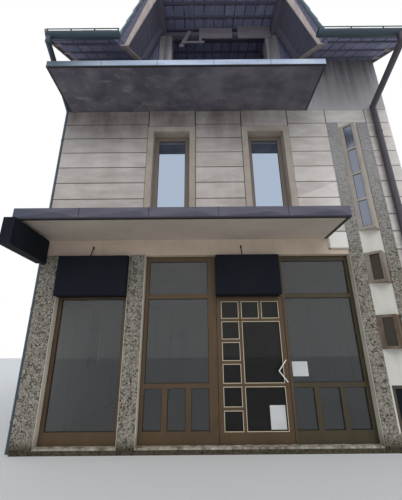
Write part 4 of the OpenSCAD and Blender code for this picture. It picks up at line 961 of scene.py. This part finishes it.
canopySheets = {
    "node": "canopy_fascia",
    "seams": (-2.44, -1.375, -0.31, 0.753),
    "buckle": 0.026,
    "inset": 0.006,
    "drip": 0.018,
    "under": 0.055,
    "seam": 0.008,
    "finish": "fascia",
}
balconySheets = {
    "node": "balcony_edge",
    "seams": (-2.36, -1.35, -0.323, 0.704),
    "buckle": 0.003,
    "inset": 0.004,
    "drip": 0.014,
    "under": 0.03,
    "seam": 0.006,
    "finish": "edge",
}
sheet = {
    "thickness": 0.003,
    "gap": 0.002,  # at each side of a seam
    "along": (0.15, 0.38),  # how far off the middle the buckle peaks, as a share of the sheet
    "upright": 0.02,
}
drip = {"out": 0.005, "clear": 0.001, "below": 0.003, "thickness": 0.004, "seamOut": 0.006}


# One sheet between each pair of seams, its face drawn out to a peak that lies a little off the middle.
def foldedSheets(name, look):
    low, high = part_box(look["node"])
    ends = [low[0]] + list(look["seams"]) + [high[0]]
    shape = bmesh.new()
    for start, end in zip(ends, ends[1:]):
        made = addBlock(shape, (start + sheet["gap"], low[1] - sheet["thickness"], low[2] + look["drip"]),
                        (end - sheet["gap"], low[1], high[2] - look["inset"]))
        shape.normal_update()
        front = [f for f in shape.faces if f.normal.y < -0.9 and all(v in made for v in f.verts)]
        dent = bmesh.ops.poke(shape, faces=front, offset=look["buckle"])["verts"]
        shift = (end - start) * random.uniform(*sheet["along"])
        rise = random.uniform(-sheet["upright"], sheet["upright"])
        bmesh.ops.translate(shape, vec=(shift, 0, rise), verts=dent)
    addPiece(name, shape, look["finish"])


# The dark strip along a sheet's foot, its return under the slab on three sides, and the seams; the
# near-black of the strip and the return is partly painted shade under the sheet.
def dripStrips(name, look):
    low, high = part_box(look["node"])
    underZ = low[2] - drip["thickness"]
    shape = bmesh.new()
    addBlock(shape, (low[0], low[1] - drip["out"], low[2] - drip["below"]),
             (high[0], low[1] - drip["clear"], low[2] + look["drip"]))
    addBlock(shape, (low[0], low[1], underZ), (high[0], low[1] + look["under"], low[2]))
    for start, end in ((low[0], low[0] + look["under"]), (high[0] - look["under"], high[0])):
        addBlock(shape, (start, low[1] + look["under"], underZ), (end, high[1], low[2]))
    for x in look["seams"]:
        addBlock(shape, (x - look["seam"] / 2, low[1] - drip["seamOut"], low[2]),
                 (x + look["seam"] / 2, low[1], high[2]))
    addPiece(name, shape, "drip")


foldedSheets("canopySheets", canopySheets)
foldedSheets("balconySheets", balconySheets)
dripStrips("canopyDrip", canopySheets)
dripStrips("balconyDrip", balconySheets)

# Face plates of the signs, left bare, and the stays that hold the boards to the beam

plate = {"inset": 0.012, "thickness": 0.004, "soft": 0.002, "leastArea": 0.3, "leastSide": 0.05}
stays = {
    "places": (-2.51, 0.13),
    "width": 0.016,
    "thickness": 0.005,
    "rise": 0.18,
    "in": 0.03,  # behind the board's face
    "off": 0.002,  # from the beam
    "end": 0.01,
    "foot": 0.011,
    "footDeep": 0.03,
    "wallPlate": (0.03, 0.006),
    "plateSpan": (-0.02, 0.03),
}
shape = bmesh.new()
boards = wholeFaces(["sign_boards", "projecting_sign"])
for face in boards.faces:
    outward = face.normal.y < -0.9 or abs(face.normal.x) > 0.9
    if outward and face.calc_area() > plate["leastArea"]:
        corners = [v.co for v in face.verts]
        low = Vector([min(c[i] for c in corners) for i in range(3)])
        high = Vector([max(c[i] for c in corners) for i in range(3)])
        for i in range(3):
            if high[i] - low[i] > plate["leastSide"]:
                low[i] += plate["inset"]
                high[i] -= plate["inset"]
            elif face.normal[i] > 0:
                high[i] += plate["thickness"]
            else:
                low[i] -= plate["thickness"]
        addBlock(shape, low, high)
boards.free()
softenEdges(shape, plate["soft"])
addPiece("signPlates", shape, "sign")

signLow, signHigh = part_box("sign_boards")
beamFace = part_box("lintel_beam")[0][1]
shape = bmesh.new()
for x in stays["places"]:
    top = signHigh[2] + stays["rise"]
    footY = signLow[1] + stays["in"]
    plateY = beamFace - stays["wallPlate"][1] / 2
    addBar(shape, (x, beamFace - stays["off"], top), (x, footY, signHigh[2] + stays["end"]),
           stays["width"], stays["thickness"], (0, -1, 1))
    addBar(shape, (x, footY, signHigh[2] + stays["foot"]), (x, footY, signHigh[2]), stays["width"],
           stays["footDeep"], (0, -1, 0))
    addBar(shape, (x, plateY, top + stays["plateSpan"][0]), (x, plateY, top + stays["plateSpan"][1]),
           stays["wallPlate"][0], stays["wallPlate"][1], (0, -1, 0))
addPiece("signStays", shape, "drip")

# Gaskets: a ring along the rim of each pane's outer face

gaskets = {
    "shopGaskets": {"panes": "shop_glass", "outward": (0, -1, 0), "width": 0.011, "depth": 0.006},
    # the panes of the box windows stand at a slant
    "boxGaskets": {"panes": "stair_glass", "outward": (-0.633, -0.774, 0), "width": 0.009, "depth": 0.006},
    "sashGaskets": {"panes": "window_glass", "outward": (0, -1, 0), "width": 0.012, "depth": 0.005},
}
for name, look in gaskets.items():
    shape = wholeFaces([look["panes"]])
    outward = Vector(look["outward"]).normalized()
    hidden = [f for f in shape.faces if f.normal.dot(outward) < 0.8]
    bmesh.ops.delete(shape, geom=hidden, context="FACES")
    panes = shape.faces[:]
    bmesh.ops.inset_individual(shape, faces=panes, thickness=look["width"])
    bmesh.ops.delete(shape, geom=panes, context="FACES")
    rims = bmesh.ops.extrude_face_region(shape, geom=shape.faces[:], use_keep_orig=True)["geom"]
    lifted = [v for v in rims if isinstance(v, bmesh.types.BMVert)]
    bmesh.ops.translate(shape, vec=outward * look["depth"], verts=lifted)
    orderFaces(shape)
    addPiece(name, shape, "rubber")

# Cassettes of the roller blinds behind the two left shop panes

blinds = {"head": 2.27, "height": 0.115, "depth": 0.09, "stile": 0.08, "gap": 0.004, "behind": 0.002,
          "soft": 0.012}
shape = bmesh.new()
for node, lastStile in (("left_window_frame", blinds["stile"]), ("left_display_frame", 0.0)):
    low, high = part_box(node)
    addBlock(shape, (low[0] + blinds["stile"] + blinds["gap"], high[1] + blinds["behind"],
                     blinds["head"] - blinds["height"]),
             (high[0] - lastStile - blinds["gap"], high[1] + blinds["depth"], blinds["head"]))
softenEdges(shape, blinds["soft"])
addPiece("blindCassettes", shape, "cassette")

# Two bare sheets of paper on the glass, their lower edges curled off it

papers = {
    "doorSheet": {"x": (0.46, 0.70), "z": (0.28, 0.61), "glass": "door_glass", "body": "door"},
    "windowSheet": {"x": (0.87, 1.12), "z": (1.02, 1.24), "glass": "shop_glass", "body": "building"},
}
paperSheet = {"thickness": 0.0006, "off": 0.001, "curl": 0.008}
for name, look in papers.items():
    wide, tall = look["x"][1] - look["x"][0], look["z"][1] - look["z"][0]
    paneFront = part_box(look["glass"])[0][1]
    shape = bmesh.new()
    bmesh.ops.create_grid(shape, x_segments=8, y_segments=6, size=0.5)
    for vertex in shape.verts:
        curl = paperSheet["off"] + paperSheet["curl"] * max(0.0, -vertex.co.y) ** 2
        vertex.co = (look["x"][0] + (vertex.co.x + 0.5) * wide, paneFront - curl,
                     look["z"][0] + (vertex.co.y + 0.5) * tall)
    shape.normal_update()
    bmesh.ops.solidify(shape, geom=shape.faces[:], thickness=paperSheet["thickness"])
    orderFaces(shape)
    addPiece(name, shape, "paper", look["body"])

# Keyhole rosette on the leaf

keyhole = {"x": 0.758, "z": 0.86, "radius": 0.024, "taper": 0.004, "thickness": 0.006}
keySlot = {"radius": 0.006, "width": 0.006, "length": 0.018, "thickness": 0.002, "rise": 0.004}
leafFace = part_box("left_display_frame")[0][1]
shape = bmesh.new()
bmesh.ops.create_cone(shape, cap_ends=True, segments=24, radius1=keyhole["radius"],
                      radius2=keyhole["radius"] - keyhole["taper"], depth=keyhole["thickness"])
bmesh.ops.rotate(shape, matrix=Matrix.Rotation(math.radians(90), 3, "X"), verts=shape.verts)
bmesh.ops.translate(shape, vec=(keyhole["x"], leafFace - keyhole["thickness"] / 2, keyhole["z"]),
                    verts=shape.verts)
addPiece("keyRosette", shape, "brownMetal", "door")
shape = bmesh.new()
half = keySlot["thickness"] / 2
bmesh.ops.create_cone(shape, cap_ends=True, segments=16, radius1=keySlot["radius"],
                      radius2=keySlot["radius"], depth=keySlot["thickness"])
bmesh.ops.rotate(shape, matrix=Matrix.Rotation(math.radians(90), 3, "X"), verts=shape.verts)
addBlock(shape, (-keySlot["width"] / 2, -half, -keySlot["length"]), (keySlot["width"] / 2, half, 0))
bmesh.ops.translate(shape, vec=(keyhole["x"], leafFace - keyhole["thickness"] - half,
                                keyhole["z"] + keySlot["rise"]), verts=shape.verts)
addPiece("keySlot", shape, "rubber", "door")

# White face of the block beside the canopy, with a joint on two sides

canopyLow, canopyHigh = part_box("canopy_fascia")
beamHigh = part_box("lintel_beam")[1]
sideBlock = {
    "x": (canopyHigh[0] + 0.004, beamHigh[0] - 0.003),
    "z": (3.11, 3.445),
    "out": 0.008,
    "soft": 0.003,
    "joint": 0.028,
    "jointOut": 0.002,
    "clear": 0.002,  # between the joint and the face
}
x0, x1 = sideBlock["x"]
z0, z1 = sideBlock["z"]
joint = sideBlock["joint"]
jointY = streetY - sideBlock["jointOut"]
shape = bmesh.new()
addBlock(shape, (x0 + joint, streetY - sideBlock["out"], z0 + joint), (x1, streetY, z1))
softenEdges(shape, sideBlock["soft"])
addPiece("sideBlockFace", shape, "whitePaint")
shape = bmesh.new()
addBlock(shape, (x0, jointY, z0), (x0 + joint - sideBlock["clear"], streetY, canopyLow[2]))
addBlock(shape, (x0, jointY, z0), (x1, streetY, z0 + joint - sideBlock["clear"]))
addPiece("sideBlockJoint", shape, "surround")

# Sheet metal sills in the tall and the low windows

sills = {
    "width": 0.74,
    "out": 0.04,
    "thickness": 0.003,
    "above": 0.001,
    "lip": (-0.02, 0.004),
    "back": 0.17,
    "streetX": (-1.172, 0.766),
    "plainX": (-1.5, 1.5),
    "tall": 0.28,  # above the canopy's top
    "low": 1.1,
}
tallZ = canopyHigh[2] + sills["tall"]
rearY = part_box("rear_wall")[1][1]
plainPlaces = [(x, z) for z in (tallZ, sills["low"]) for x in sills["plainX"]]
walls = [
    (Matrix.Translation((0, streetY, 0)), [(x, tallZ) for x in sills["streetX"]]),
    (Matrix.Translation((leftX, 0, 0)) @ Matrix.Rotation(math.radians(-90), 4, "Z"), plainPlaces),
    (Matrix.Translation((0, rearY, 0)) @ Matrix.Rotation(math.radians(180), 4, "Z"), plainPlaces),
]
shape = bmesh.new()
for wallAt, places in walls:
    for x, z in places:
        start, end = x - sills["width"] / 2, x + sills["width"] / 2
        made = addBlock(shape, (start, -sills["out"], z + sills["above"]),
                        (end, sills["back"], z + sills["above"] + sills["thickness"]))
        made += addBlock(shape, (start, -sills["out"] - sills["thickness"], z + sills["lip"][0]),
                         (end, -sills["out"], z + sills["lip"][1]))
        bmesh.ops.transform(shape, matrix=wallAt, verts=made)
addPiece("windowSills", shape, "flashing")
print("stage: trim on the walls ready")
